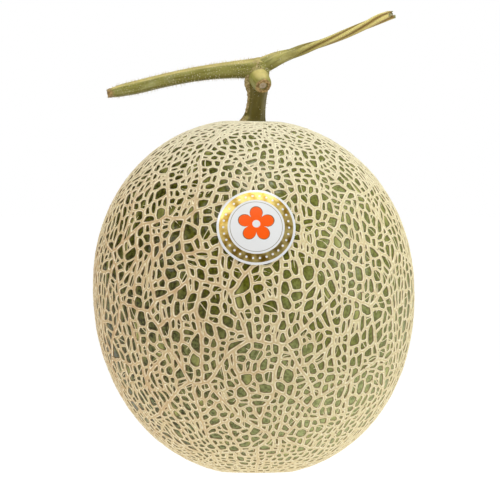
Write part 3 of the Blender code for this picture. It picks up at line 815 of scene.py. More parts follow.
def crack(net, cell, area, dice):
    """Split a cell across its long way; gives its two halves."""
    late = area < LATE_CELL_AREA
    most_drift = LATE_DRIFT if late else CRACK_DRIFT
    loop = net.grown_loop(cell)
    flat, centre, _, _ = flatten(np.array([net.points[i] for i in loop]))
    taller = LATE_UPRIGHT if late else UPRIGHT
    upright = 1 + (taller - 1) * (1 - centre[2] ** 2)
    stretch = np.array((upright, 1.0))
    _, middle, xx, yy, xy = polygon_moments(flat * stretch)
    angle = 0.5 * math.atan2(2 * xy, xx - yy)
    size = math.sqrt(max(xx, yy) ** 0.5)
    long_way = np.array((math.cos(angle), math.sin(angle)))
    straight = angle + math.pi / 2
    straight += (round(straight / (math.pi / 2)) * math.pi / 2 - straight) * ORDER
    tries = []
    for _ in range(CRACK_TRIES):
        point = middle + long_way * dice.uniform(-most_drift, most_drift) * size
        turned = straight + dice.gauss(0, LATE_TURN if late else CRACK_TURN)
        hits = chord_through(flat * stretch, point, (math.cos(turned), math.sin(turned)))
        if len(hits) == 2:
            tries.append((neatness(flat * stretch, hits), hits))
    if not tries:
        return None
    hits = max(tries)[1]
    ends = []
    for side, share in hits:
        a, b = loop[side], loop[(side + 1) % len(loop)]
        ends.append(net.cut(a, b, min(max(share, CRACK_ENDS[0]), CRACK_ENDS[1])))
    net.depth[pair(*ends)] = cell.depth + 1
    first, second = hits[0][0], hits[1][0]
    one = [ends[0]] + loop[first + 1:second + 1] + [ends[1]]
    other = [ends[1]] + loop[second + 1:] + loop[:first + 1] + [ends[0]]
    halves = ((one, cell.path * 2), (other, cell.path * 2 + 1))
    return [Cell(corners, cell.depth + 1, path, cell.family) for corners, path in halves]


def cell_size(net, cell, fruit):
    """The cell's area on the fruit and the area that it may have before it cracks again."""
    flat, centre, _, _ = flatten(np.array([net.points[i] for i in cell.loop]))
    area = polygon_moments(flat)[0] * float(rough_reach(centre[None])[0]) ** 2
    spread = random.Random(f"size {NET_SEED} {cell.path}").uniform(*CELL_SPREAD)
    return area, fruit.cell_area * spread * (1 - (1 - fruit.crowding) * abs(centre[2]) ** 2)


def crack_all(net, fruit):
    waiting = list(net.cells)
    net.cells = []
    while waiting:
        later = []
        for cell in waiting:
            area, allowed = cell_size(net, cell, fruit)
            halves = None
            if not cell.whole and area > allowed:
                halves = crack(net, cell, area, random.Random(f"crack {NET_SEED} {cell.path}"))
            if halves:
                later.extend(halves)
            else:
                net.cells.append(cell)
        waiting = later
    for cell in net.cells:
        cell.loop = net.grown_loop(cell)


def settle(net):
    """Junctions move towards their neighbours, so that corners round off as grown ones do."""
    held = {i for cell in net.cells if cell.whole for i in cell.loop}
    neighbours = {}
    for a, b in net.edges():
        strength = 1.0 / (1 + net.depth[(a, b)])
        neighbours.setdefault(a, []).append((b, strength))
        neighbours.setdefault(b, []).append((a, strength))
    for _ in range(SETTLE_ROUNDS):
        moved = list(net.points)
        for corner, near in neighbours.items():
            if corner in held:
                continue
            total = sum(strength for _, strength in near)
            middle = sum(net.points[other] * strength for other, strength in near) / total
            moved[corner] = unit(net.points[corner] * (1 - SETTLE_PULL) + middle * SETTLE_PULL)
        net.points = moved


def grow_net(fruit):
    net = Net()
    first_cracks(net, seed_directions(random.Random(NET_SEED)))
    crack_all(net, fruit)
    settle(net)
    return net


def meander(ways):
    """Let the whole net wander a little sideways, so that no long ridge runs straight."""
    reach = rough_reach(ways)
    places = [Vector(way * far / MEANDER_LENGTH) for way, far in zip(ways, reach)]
    shift = np.array([[noise.noise(place + Vector(apart)) for apart in MEANDER_AXES] for place in places])
    calm = np.ones(len(ways))
    for spot in (direction_to(STALK_X, 0.0, EQUATOR_Z + CROWN_HEIGHT), direction_to(0.0, 0.0, 0.0)):
        away = np.arccos(np.clip(ways @ spot, -1, 1)) * reach
        calm *= ramp(away, *MEANDER_CALM)
    moved = ways + shift * (calm * 2 * MEANDER / reach)[:, None]
    return moved / np.linalg.norm(moved, axis=1)[:, None]


def by_depth(values, depth):
    return values[min(depth, len(values) - 1)]


class Crests:
    """The lines along the tops of the ridges: their points, and each ridge's own sizes."""

    def __init__(self, net, fruit):
        self.ways = list(net.points)
        self.lifts = [0.0] * len(net.points)
        self.ages = [1.0] * len(net.points)
        self.line = {}
        self.width = {}
        for edge in net.edges():
            self.trace(net, edge, fruit)
        self.ways = meander(np.array(self.ways))
        self.lifts = np.array(self.lifts)
        self.ages = np.array(self.ages)

    def trace(self, net, edge, fruit):
        dice = random.Random(f"ridge {NET_SEED} {edge[0]} {edge[1]}")
        depth = net.depth[edge]
        vary = dice.uniform(*RIDGE_SPREAD)
        run = net.points[edge[1]] - net.points[edge[0]]
        rise = abs(run[2]) / np.linalg.norm(run)
        width = by_depth(RIDGE_HALF_WIDTH, depth) * MM * vary * fruit.ridge_scale
        width *= RUNG_WIDTH + (1 - RUNG_WIDTH) * rise
        height = by_depth(RIDGE_HEIGHT, depth) * MM * min(vary, 1.0)
        age = min(depth / (len(RIDGE_HEIGHT) - 1), 1.0)
        start, end = (net.points[i] for i in edge)
        middle = start + end
        reach = float(rough_reach(unit(middle)[None])[0])
        length = np.linalg.norm(end - start) * reach
        steps = max(2, round(length / CREST_STEP))
        side = unit(np.cross(middle, end - start))
        bow = dice.gauss(0, CREST_WANDER) * length / reach
        sway = dice.gauss(0, CREST_WANDER * SWAY_SHARE) * length / reach
        inner = []
        for step in range(1, steps):
            share = step / steps
            shift = bow * math.sin(math.pi * share) + sway * math.sin(2 * math.pi * share)
            way = start * (1 - share) + end * share + side * shift
            inner.append(len(self.ways))
            self.ways.append(unit(way))
            self.lifts.append(height * (1 + dice.gauss(0, CREST_UNEVEN)))
            self.ages.append(age)
        self.line[edge] = inner
        self.width[edge] = width
        for corner in edge:
            self.lifts[corner] = max(self.lifts[corner], height)
            self.ages[corner] = min(self.ages[corner], age)

    def round_cell(self, cell):
        """Crest points round a cell, which ridge each stretch belongs to, and its half width."""
        points, ridges, widths = [], [], []
        for ridge, (a, b) in enumerate(cell.sides()):
            key = pair(a, b)
            inner = self.line[key] if a < b else self.line[key][::-1]
            points += [a] + inner
            ridges += [ridge] * (len(inner) + 1)
            widths += [self.width[key]] * (len(inner) + 1)
        return np.array(points), np.array(ridges), np.array(widths)


def foot_share(spots, corners, ridges, widths):
    """How far each spot is from the crests: 0 on a crest, 1 at the foot of the nearest ridge."""
    ends = np.roll(corners, -1, axis=0)
    along = ends - corners
    offset = spots[:, None, :] - corners[None]
    share = (offset * along).sum(-1) / (along ** 2).sum(-1)
    gap = offset - along * np.clip(share, 0, 1)[..., None]
    apart = np.sqrt((gap ** 2).sum(-1)) / widths
    starts = np.flatnonzero(np.diff(ridges, prepend=-1))
    nearest = np.minimum.reduceat(apart, starts, axis=1)
    return -np.log(np.exp(-CORNER_SHARPNESS * nearest).sum(1)) / CORNER_SHARPNESS


def deepest_spot(corners, middle, ridges, widths):
    """The spot of a cell that is furthest from its ridges."""
    low, high = corners.min(0), corners.max(0)
    best = middle
    span = (high - low) / 2
    centre = (low + high) / 2
    steps = np.linspace(-1, 1, HUB_GRID)
    grid = np.stack(np.meshgrid(steps, steps), -1).reshape(-1, 2)
    for shrink in HUB_GRIDS:
        spots = np.vstack((centre + grid * span * shrink, best))
        inside = in_polygon(spots, corners)
        shares = np.where(inside, foot_share(spots, corners, ridges, widths), -9)
        best = spots[int(np.argmax(shares))]
        centre = best
    return best, float(shares.max())


def in_polygon(spots, corners):
    x0, y0 = corners.T
    x1, y1 = np.roll(corners, -1, axis=0).T
    x, y = spots[:, :1], spots[:, 1:]
    with np.errstate(divide="ignore", invalid="ignore"):
        crossing = ((y0 > y) != (y1 > y)) & (x < (x1 - x0) * (y - y0) / (y1 - y0) + x0)
    return crossing.sum(1) % 2 == 1


class Relief:
    """Collects the net's points and faces, sector by sector."""

    def __init__(self, crests):
        count = len(crests.ways)
        self.ways = [crests.ways, crests.ways]
        self.lifts = [crests.lifts.copy(), np.full(count, -SHELL_DEPTH)]
        self.ages = [crests.ages, crests.ages]
        self.flanks = [np.zeros(count), np.ones(count)]
        self.under = count
        self.total = 2 * count
        self.quads = [[] for _ in range(SECTORS)]
        self.fans = [[] for _ in range(SECTORS)]
        self.rims = [{} for _ in range(SECTORS)]

    def points(self, ways, lifts, flanks, ages):
        first = self.total
        self.ways.append(ways)
        self.lifts.append(lifts)
        self.flanks.append(flanks)
        self.ages.append(ages)
        self.total += len(ways)
        return np.arange(first, self.total)

    def strip(self, family, outer, inner):
        quads = np.stack((outer, np.roll(outer, -1), np.roll(inner, -1), inner), axis=1)
        self.quads[family].append(quads)

    def fan(self, family, ring, hub):
        self.fans[family].append(np.stack((ring, np.roll(ring, -1), np.full(len(ring), hub)), axis=1))


def raise_cell(relief, crests, cell):
    """The inner flanks of the ridges round one cell, its bulging skin and the closed underside."""
    points, ridges, widths = crests.round_cell(cell)
    flat, centre, east, north = flatten(crests.ways[points])
    reach = float(rough_reach(centre[None])[0])
    corners = flat * reach
    middle = polygon_moments(corners)[1]
    hub, depth = deepest_spot(corners, middle, ridges, widths)
    rays = corners[:, None] * (1 - RAY_STEPS)[None, :, None] + hub * RAY_STEPS[None, :, None]
    shares = foot_share(rays.reshape(-1, 2), corners, ridges, widths).reshape(len(points), -1)
    shares = np.maximum.accumulate(shares, axis=1)
    is_open = depth > OPEN_DEPTH
    heights = crests.lifts[points]
    outer = points
    for reach_share, lift_share in zip(RING_REACH, RING_LIFT):
        level = reach_share if is_open else reach_share * min(depth / RING_REACH[-1], 1.0) * DIMPLE_FILL
        place = np.array([np.interp(level, row, RAY_STEPS) for row in shares])
        spots = corners * (1 - place)[:, None] + hub * place[:, None]
        if is_open:
            edge = BULGE_EDGE if reach_share == RING_REACH[-1] else APRON
            lifts = heights * lift_share + edge * (1 - lift_share)
        else:
            lifts = heights * np.interp(level, (0,) + RING_REACH, (1.0,) + RING_LIFT)
        ring = relief.points(ways_at(spots / reach, centre, east, north), lifts,
                             np.full(len(points), level), crests.ages[points])
        relief.strip(cell.family, outer, ring)
        outer = ring
    way = ways_at(hub[None] / reach, centre, east, north)
    if is_open:
        wide = min((depth - RING_REACH[-1]) / BULGE_WIDE, 1.0)
        hub_lift = BULGE_EDGE + BULGE_MIDDLE * wide
    else:
        hub_lift = float(heights.mean() * np.interp(depth, (0,) + RING_REACH, (1.0,) + RING_LIFT))
    top = relief.points(way, np.array([max(hub_lift, APRON)]), np.array([depth]), np.zeros(1))[0]
    bottom = relief.points(way, np.array([-SHELL_DEPTH]), np.ones(1), np.zeros(1))[0]
    relief.fan(cell.family, outer, top)
    relief.fan(cell.family, (points + relief.under)[::-1], bottom)
    rim = relief.rims[cell.family]
    for a, b in zip(points, np.roll(points, -1)):
        if (b, a) in rim:
            del rim[(b, a)]
        else:
            rim[(a, b)] = True


def ways_at(spots, centre, east, north):
    ways = centre + spots[:, :1] * east + spots[:, 1:] * north
    return ways / np.linalg.norm(ways, axis=1)[:, None]


def net_meshes(net, crests):
    """The net as one closed shell for each sector of the fruit, drawn on the unit sphere."""
    breadth = np.zeros(len(crests.ways))
    for edge, inner in crests.line.items():
        share = crests.width[edge] / (RIDGE_HALF_WIDTH[0] * MM)
        for point in list(edge) + inner:
            breadth[point] = max(breadth[point], share)
    relief = Relief(crests)
    for cell in net.cells:
        raise_cell(relief, crests, cell)
    relief.lifts[0] *= 1 - GROOVE * breadth ** 2
    ways = np.vstack(relief.ways)
    lifts = np.concatenate(relief.lifts)
    flanks = np.concatenate(relief.flanks)
    ages = np.concatenate(relief.ages)
    made = []
    for family in range(SECTORS):
        walls = np.array([(b, a, a + relief.under, b + relief.under) for a, b in relief.rims[family]])
        faces = [np.vstack(relief.quads[family] + [walls]), np.vstack(relief.fans[family])]
        used = np.unique(np.concatenate([block.ravel() for block in faces]))
        renumber = np.zeros(len(ways), np.int64)
        renumber[used] = np.arange(len(used))
        faces = [renumber[block] for block in faces]
        facts = {"lift": lifts[used], "flank": flanks[used], "age": ages[used]}
        made.append(mesh_from_faces(f"net_{family + 1}", ways[used], faces, facts))
    return made


def thread_lines(net, crests):
    """The middles of the fine threads, drawn on the unit sphere as chains of edges."""
    places, thickness, edges = [], [], []
    for cell in net.cells:
        dice = random.Random(f"thread {THREAD_SEED} {cell.path}")
        points, _, _ = crests.round_cell(cell)
        flat, centre, east, north = flatten(crests.ways[points])
        reach = float(rough_reach(centre[None])[0])
        if polygon_moments(flat)[0] * reach ** 2 < THREAD_MIN_AREA or dice.random() > THREAD_SHARE:
            continue
        if centre[2] < THREAD_LOWEST:
            continue
        start = dice.randrange(len(points))
        across = (start + round(len(points) * dice.uniform(*THREAD_ACROSS))) % len(points)
        length = dice.uniform(*THREAD_STUB) if dice.random() < THREAD_DEAD_END else 1.0
        run = (flat[across] - flat[start]) * length
        side = np.array((-run[1], run[0])) * dice.gauss(0, THREAD_BOW)
        first = len(places)
        for step in range(THREAD_STEPS):
            share = step / (THREAD_STEPS - 1)
            spot = flat[start] + run * share + side * math.sin(math.pi * share)
            spot = spot + run * dice.gauss(0, THREAD_SHAKE)
            way = centre + spot[0] * east + spot[1] * north
            places.append(unit(way))
            fade = 1.0 if length == 1.0 else 1.0 - THREAD_TAPER * share
            thickness.append(dice.uniform(*THREAD_SPREAD) * fade)
            if step:
                edges.append((first + step - 1, first + step))
    mesh = bpy.data.meshes.new("net_threads")
    mesh.from_pydata(places, edges, [])
    write_facts(mesh, {"lift": THREAD_LIFT, "age": 1.0, "flank": THREAD_FLANK, "thickness": thickness})
    return mesh


def thread_tree():
    """Turns chains of edges into thin closed cords."""
    tree, given = new_tree("Cork Threads", ("Radius",))
    line = add(tree, "GeometryNodeMeshToCurve", {"Mesh": given["Geometry"]})
    thickness = add(tree, "GeometryNodeInputNamedAttribute", {"Name": "thickness"}, data_type="FLOAT")
    ring = add(tree, "GeometryNodeCurvePrimitiveCircle",
               {"Resolution": THREAD_SIDES, "Radius": given["Radius"]})
    cord = add(tree, "GeometryNodeCurveToMesh",
               {"Curve": line.outputs[0], "Profile Curve": ring.outputs["Curve"],
                "Scale": thickness.outputs["Attribute"], "Fill Caps": True})
    return finish_tree(tree, cord.outputs[0], given["Material"])


# The rind's materials

# Patches, fine mottling, paler yellow-green streaks upright, painted light that pales the skin towards the
# top, the right and the bottom, and painted shade that darkens it at the left
SKIN_STEPS = (
    ("broad", "noise", "place", 1 / (38 * MM), 2.0),
    ("fine", "noise", "place", 1 / (1.5 * MM), 3.0),
    ("upright", "times", "place", (1.0, 1.0, 0.2)),
    ("streaks", "noise", "upright", 1 / (7 * MM), 2.0),
    # Painted light: paler skin towards the bottom, the top and the right of the fruit
    ("lower", "range", "z", 95 * MM, 25 * MM, 0.0, 1.0),
    ("crown", "range", "z", 128 * MM, 165 * MM, 0.0, 0.6),
    ("sunny", "range", "x", -30 * MM, 45 * MM, 0.0, 0.5),
    ("ends", "MAXIMUM", "lower", "crown"),
    ("pale", "MAXIMUM", "ends", "sunny"),
    ("patch", "range", "broad", 0.35, 0.65, -0.25, 0.25),
    ("pale share", "clamped ADD", "pale", "patch"),
    # Painted shade: the skin darkens towards the fruit's left, on top of its fine mottling
    ("dusk", "range", "x", 25 * MM, -45 * MM, 0.0, 0.6),
    ("speck", "range", "fine", 0.38, 0.62, 0.0, 0.5),
    ("mottle", "clamped ADD", "speck", "dusk"),
    ("streak", "range", "streaks", 0.56, 0.72, 0.0, 0.7),
    *layered("skin", "skin_green", ("pale share", "skin_pale_and_light"), ("mottle", "skin_deep_and_shade"),
             ("streak", "skin_streak")),
)

# Tan and yellow patches, a groove along the crest, pores, a painted highlight on the rims, painted shade on
# the lower flanks, at the dark foot on the skin and at the left, and painted light at the top, the right
# and the bottom
CORK_STEPS = (
    *SKIN_STEPS,
    ("patches", "noise", "place", 1 / (11 * MM), 3.0),
    ("crumbs", "noise", "place", 1 / (0.9 * MM), 3.0),
    ("breaks", "noise", "place", 1 / (2.4 * MM), 3.0),
    ("holes", "cells", "place", 1 / (4.2 * MM)),
    # Painted shade: the cork turns tan towards the fruit's left, on top of its random tan patches
    ("shaded", "range", "x", 40 * MM, -60 * MM, -0.2, 0.75),
    # Painted top light: less tan towards the top
    ("crown", "range", "z", 105 * MM, 160 * MM, 0.0, 0.5),
    ("patch", "range", "patches", 0.38, 0.70, 0.0, 0.6),
    ("warm", "ADD", "patch", "shaded"),
    ("tan patch", "clamped SUBTRACT", "warm", "crown"),
    ("yellow", "MULTIPLY", "age", 0.5),
    ("tan crumb", "range", "crumbs", 0.42, 0.66, 0.0, 0.75),
    ("broken", "range", "breaks", 0.38, 0.60, 0.15, 1.0),
    ("groove line", "range", "flank", 0.34, 0.05, 0.0, 0.6),
    ("groove", "MULTIPLY", "groove line", "broken"),
    # Painted light from the table below and from the right
    ("low", "range", "z", 40 * MM, 4 * MM, 0.0, 0.45),
    ("sunny", "range", "x", -10 * MM, 45 * MM, 0.0, 0.32),
    ("creamy", "MAXIMUM", "low", "sunny"),
    # Painted top light: whiter cork towards the top
    ("high", "range", "z", 125 * MM, 165 * MM, 0.0, 0.45),
    # Painted highlight: light bands along the flanks of every ridge, broken up by noise
    ("rim in", "range", "flank", 0.30, 0.50, 0.0, 0.85),
    ("rim out", "range", "flank", 0.72, 0.86, 1.0, 0.0),
    ("rim whole", "MULTIPLY", "rim in", "rim out"),
    ("rim", "MULTIPLY", "rim whole", "broken"),
    # Painted shade on the lower flanks of every ridge, in tan
    ("shoulder", "range", "flank", 0.72, 0.92, 0.0, 0.7),
    ("pore", "range", "holes", 0.10, 0.07, 0.0, 0.75),
    # Painted shade at the foot of every ridge, lighter brown on the underside
    ("foot", "range", "flank", 0.83, 0.98, 0.0, 0.92),
    ("underside", "range", "z", 85 * MM, 25 * MM, 0.0, 1.0),
    ("foot colour", "mix", "underside", "cork_foot_shade", "foot_low_shade"),
    ("skin share", "range", "flank", 1.05, 1.42, 0.0, 1.0),
    *layered("colour", "cork_pale", ("tan patch", "cork_tan_and_shade"), ("yellow", "cork_yellow"),
             ("tan crumb", "cork_tan_and_shade"), ("groove", "cork_groove"), ("creamy", "cork_cream_light"),
             ("high", "cork_top_light"), ("rim", "cork_rim_highlight"), ("shoulder", "cork_tan_and_shade"),
             ("pore", "cork_pore"), ("foot", "foot colour"), ("skin share", "skin")),
    ("relief", "range", "skin share", 0.0, 1.0, 0.8, 0.2),
    ("bumps", "bump", "relief", 0.3 * MM, "crumbs"),
    ("roughness", "range", "skin share", 0.0, 1.0, 0.85, 0.24),
)


def skin_material(fruit):
    """Melon epidermis, waxy and living: a soft gloss over mottled green, no pores to speak of."""
    steps = (
        *SKIN_STEPS,
        ("pitting", "noise", "place", 1 / (1.2 * MM), 2.0),
        ("bumps", "bump", 0.5, 0.12 * MM, "pitting"),
    )
    return painted("waxy melon skin", fruit, steps,
                   {"Base Color": "skin", "Roughness": 0.24, "IOR": 1.4, "Specular IOR Level": 0.27,
                    "Normal": "bumps"})


def cork_material(fruit):
    """Cork grown in the cracks of the skin: dry, matt and finely pitted, with a painted highlight on the
    rims of its ridges and painted shade on their lower flanks and at their foot.
    """
    return painted("melon net cork", fruit, CORK_STEPS,
                   {"Base Color": "colour", "Roughness": "roughness", "IOR": 1.4,
                    "Specular IOR Level": 0.27, "Normal": "bumps"}, facts=("flank", "age"))


MADE = {}


def shared_material(maker, settings):
    """One material for all the pieces made by the same function."""
    if maker.__name__ not in MADE:
        MADE[maker.__name__] = maker(settings)
    return MADE[maker.__name__]


# The vine: ribbed tubes along smooth routes, joined by a voxel remesh

def smooth_route(points):
    """Places and radii along a curve through the route points, in metres, evenly spaced."""
    knots = np.array(points, float) * MM
    knots = np.vstack((2 * knots[0] - knots[1], knots, 2 * knots[-1] - knots[-2]))
    samples = []
    spans = len(knots) - 3
    for i in range(spans * ROUTE_SAMPLES + 1):
        place = i / ROUTE_SAMPLES
        span = min(int(place), spans - 1)
        t = place - span
        a, b, c, d = knots[span:span + 4]
        samples.append(0.5 * (2 * b + (c - a) * t + (2 * a - 5 * b + 4 * c - d) * t ** 2
                              + (3 * b - a - 3 * c + d) * t ** 3))
    samples = np.array(samples)
    lengths = np.concatenate(([0], np.cumsum(np.linalg.norm(np.diff(samples[:, :3], axis=0), axis=1))))
    even = np.linspace(0, lengths[-1], max(2, round(lengths[-1] / ROUTE_STEP)) + 1)
    return np.stack([np.interp(even, lengths, samples[:, k]) for k in range(4)], axis=1)


def route_frames(route, level_base=False):
    """The way ahead at each point of a route, and two directions across it that don't twist."""
    ahead = np.gradient(route[:, :3], axis=0)
    ahead /= np.linalg.norm(ahead, axis=1)[:, None]
    if level_base:
        ahead[0] = (0.0, 0.0, 1.0)
    side = np.array((0.0, 1.0, 0.0))
    sides = []
    for way in ahead:
        side = unit(side - way * (side @ way))
        sides.append(side)
    sides = np.array(sides)
    return ahead, sides, np.cross(ahead, sides)


class Shoot:
    """One length of the vine: its route, its ribs, and how dry, woody or hairy it is."""

    def __init__(self, points, sides=40, ribs=(0.0, 0.0), turns=0.0, hollow=(0.0, 0.0), dry=(0.0, 0.0),
                 bark=0.0, olive=0.0, hairy=0.0, level_base=False, cut_length=0.0,
                 strand=False):
        self.route = smooth_route(points)
        self.ahead, self.side, self.other = route_frames(self.route, level_base)
        self.sides = sides
        self.ribs = ribs
        self.turns = turns
        self.hollow = hollow       # share of the radius and depth in mm of the pit at the far end
        self.dry = dry
        self.bark = bark
        self.olive = olive
        self.strand = strand
        self.hairy = hairy
        self.cut_length = cut_length

    def add_to(self, shape):
        last = len(self.route) - 1
        rings = [self.ring(shape, i, 1.0, 0.0) for i in range(last + 1)]
        share, depth = self.hollow
        if share:
            for inner, sunk in HOLLOW_RINGS:
                rings.append(self.ring(shape, last, share * inner, -depth * sunk * MM))
        for low, high in zip(rings, rings[1:]):
            for k in range(self.sides):
                j = (k + 1) % self.sides
                shape.faces.new((low[k], low[j], high[j], high[k]))
        shape.faces.new(rings[0][::-1])
        shape.faces.new(rings[-1])

    def ring(self, shape, i, inner, shift):
        last = len(self.route) - 1
        share = i / last
        rib_depth = self.ribs[0] * (1 - share) + self.ribs[1] * share
        turn = 2 * math.pi * np.arange(self.sides) / self.sides
        swell = inner * (1 + rib_depth * np.cos(VINE_RIBS * turn))
        angle = turn + 2 * math.pi * self.turns * share
        out = self.side[i] * np.cos(angle)[:, None] + self.other[i] * np.sin(angle)[:, None]
        places = self.route[i, :3] + self.ahead[i] * shift + out * (self.route[i, 3] * swell)[:, None]
        return [shape.verts.new(place) for place in places]

    def nearest(self, places):
        """The route point nearest to each place in terms of its radius, and that distance squared."""
        far = ((places[:, None] - self.route[None, :, :3]) ** 2).sum(-1) / self.route[None, :, 3] ** 2
        near = far.argmin(1)
        return near, far[np.arange(len(near)), near]

    def measure(self, places, near):
        """How far along the shoot each place is, its angle round the shoot, and how far out."""
        offset = places - self.route[near, :3]
        along = near * ROUTE_STEP + (offset * self.ahead[near]).sum(1)
        across, up = (offset * self.side[near]).sum(1), (offset * self.other[near]).sum(1)
        return along, np.arctan2(up, across), np.hypot(up, across)


def dried_strands():
    """The dried arm's ribs as strands that wind round it and stand free at its torn end."""
    arm = Shoot(DRIED_ARM)
    last = len(arm.route) - 1
    strands = []
    for start, size, reach, spread in STRANDS:
        points = []
        for i in range(int(last * STRAND_RISE[0]), last + 1, STRAND_EVERY):
            share = i / last
            angle = 2 * math.pi * (start + DRIED_TWIST * share)
            out = arm.side[i] * math.cos(angle) + arm.other[i] * math.sin(angle)
            sunk = np.interp(share, STRAND_RISE, (STRAND_SUNK, 0.0))
            place = arm.route[i, :3] + out * arm.route[i, 3] * (STRAND_REACH - size - sunk)
            points.append((*(place / MM), arm.route[i, 3] / MM * size))
        end = np.array(points[-1])
        way = arm.ahead[last] * reach + out * spread
        for far, slim in STRAND_TIPS:
            points.append((*(end[:3] + way * far), end[3] * slim))
        strands.append(Shoot(points, sides=20, turns=-0.3, dry=(0.25, 1.0),
                             hollow=(0.5, 0.5), cut_length=1.6 * MM, strand=True))
    return strands


def all_shoots():
    arm = np.array(DRIED_ARM)
    core = [(*row[:3], row[3] * np.interp(row[0], CORE_NARROWS, (1.0, CORE_SHARE))) for row in arm[:-1]]
    shoots = [
        Shoot(FRESH_ARM, sides=48, ribs=(0.02, 0.05), hollow=(0.66, 2.2), hairy=1.0,
              cut_length=4.5 * MM),
        Shoot(core, sides=40, ribs=(0.05, 0.12), turns=DRIED_TWIST, dry=(0.0, 1.0), hairy=0.2),
        Shoot(STALK, sides=48, ribs=(0.08, 0.05), bark=0.12, hairy=0.25, olive=1.0, level_base=True),
        Shoot(LEAF_STUB, sides=40, ribs=(0.0, 0.03), hollow=(0.68, 1.3), cut_length=1.1 * MM),
        Shoot(NODE_SWELLING, sides=40, bark=0.4, hairy=0.4),
        Shoot(CORK_RIDGE, sides=16, ribs=(0.15, 0.15), bark=0.6),
        Shoot(LEAF_SCAR, sides=16, ribs=(0.15, 0.15), bark=0.5),
    ]
    return shoots + dried_strands()


def remeshed(thing):
    """The union of overlapping closed shapes as one even skin, smoothed where they meet."""
    union = thing.modifiers.new("Union", "REMESH")
    union.mode = "VOXEL"
    union.voxel_size = VOXEL
    soften = thing.modifiers.new("Soften", "SMOOTH")
    soften.factor = 0.5
    soften.iterations = SOFTEN_ROUNDS
    return made_plain(thing)


def grain_at(angle, radius, along):
    """Where a point lies in the vine's own grain: round the shoot and along it."""
    return np.stack((np.cos(angle) * radius, np.sin(angle) * radius, along), axis=1)


def nearest_facts(places, shoots):
    """What every point of the vine takes from the shoot that it lies on, and its place in the grain."""
    count = len(places)
    best = np.full(count, np.inf)
    facts = {name: np.zeros(count) for name in ("dry", "bark", "olive", "cut", "pith", "hairy", "valley")}
    grain = np.zeros((count, 3))
    twined = np.zeros(count, bool)
    for shoot in shoots:
        length = (len(shoot.route) - 1) * ROUTE_STEP
        first, last = shoot.dry
        for start in range(0, count, BLOCK):
            near, far = shoot.nearest(places[start:start + BLOCK])
            far *= 1.0 if shoot.strand else STRANDS_FIRST
            here = np.flatnonzero(far < best[start:start + BLOCK])
            index, near, far = here + start, near[here], far[here]
            best[index] = far
            along, angle, _ = shoot.measure(places[index], near)
            share = np.clip(along / length, 0, 1)
            grain[index] = grain_at(angle - 2 * math.pi * shoot.turns * share, shoot.route[near, 3], along)
            twined[index] = shoot.turns != 0
            facts["dry"][index] = np.interp(share, DRYING, (first, first, (first + 2 * last) / 3, last))
            for name in ("bark", "olive", "hairy"):
                facts[name][index] = getattr(shoot, name)
            left = length - along
            facts["cut"][index] = np.clip(1 - left / shoot.cut_length, 0, 1) if shoot.cut_length else 0
            pith = np.clip((shoot.hollow[0] * PITH_EDGE - np.sqrt(far)) / PITH_BLUR, 0, 1)
            facts["pith"][index] = (left < PITH_DEPTH) * pith if shoot.cut_length else 0
    arm = Shoot(DRIED_ARM)
    steps = np.arange(len(arm.route))
    dried = np.flatnonzero(twined)
    for start in range(0, len(dried), BLOCK):
        index = dried[start:start + BLOCK]
        near, _ = arm.nearest(places[index])
        along, angle, across = arm.measure(places[index], near)
        radius = np.interp(along, steps * ROUTE_STEP, arm.route[:, 3])
        facts["valley"][index] = np.clip((FURROW_TOP - across / radius) / FURROW_DEPTH, 0, 1)
        grain[index] = grain_at(angle - 2 * math.pi * DRIED_TWIST * near / steps[-1], radius, along)
    return facts, grain


def weather(facts, places, normals):
    """Painted light on the vine's upper side and painted shade on its underside, and a cracked corky lip at
    its foot.
    """
    x, z = places[:, 0], places[:, 2]
    facts["valley"] *= ramp(x, *FURROWS_FROM)
    lip = LIP_BARK * ramp(z, *BARK_LIP_Z) * ramp(x, *BARK_LIP_X)
    facts["bark"] = np.maximum(facts["bark"], lip)
    # Painted light: the upward faces of the left arm turn yellow
    facts["ripe"] = ramp(normals[:, 2], *LIT_TOP_SLOPE) * ramp(x, *LIT_TOP_X)
    # Painted shade: the downward faces of every shoot darken like its furrows
    facts["valley"] = np.maximum(facts["valley"], SHADE_MOST * ramp(normals[:, 2], *SHADE_SLOPE))


def evened(values, edges, rounds):
    """The values of a mesh's points, each brought half way to the mean of its neighbours."""
    ways = np.maximum(np.bincount(edges.ravel(), minlength=len(values)), 1)
    for _ in range(rounds):
        total = np.bincount(edges[:, 0], values[edges[:, 1]], len(values))
        total += np.bincount(edges[:, 1], values[edges[:, 0]], len(values))
        values = (values + total / ways) / 2
    return values


def roughened(places, normals, facts, grain):
    """Small real unevenness: scars on the bark, fibres on the cuts, faint furrows along the grain."""
    moved = places.copy()
    for i, (place, normal) in enumerate(zip(places, normals)):
        coarse = noise.noise(Vector(place) / SCAR_SIZE)
        fine = noise.noise(Vector(place) / CRUMB_SIZE)
        furrow = noise.noise(Vector(grain[i] / FIBRE_SIZE))
        lift = facts["bark"][i] * (BARK_ROUGH[0] * coarse + BARK_ROUGH[1] * fine)
        lift += facts["cut"][i] * (CUT_ROUGH[0] * coarse + CUT_ROUGH[1] * fine)
        lift += FIBRE_ROUGH * (1 - facts["dry"][i]) * furrow
        moved[i] = place + normal * lift * MM
    return moved


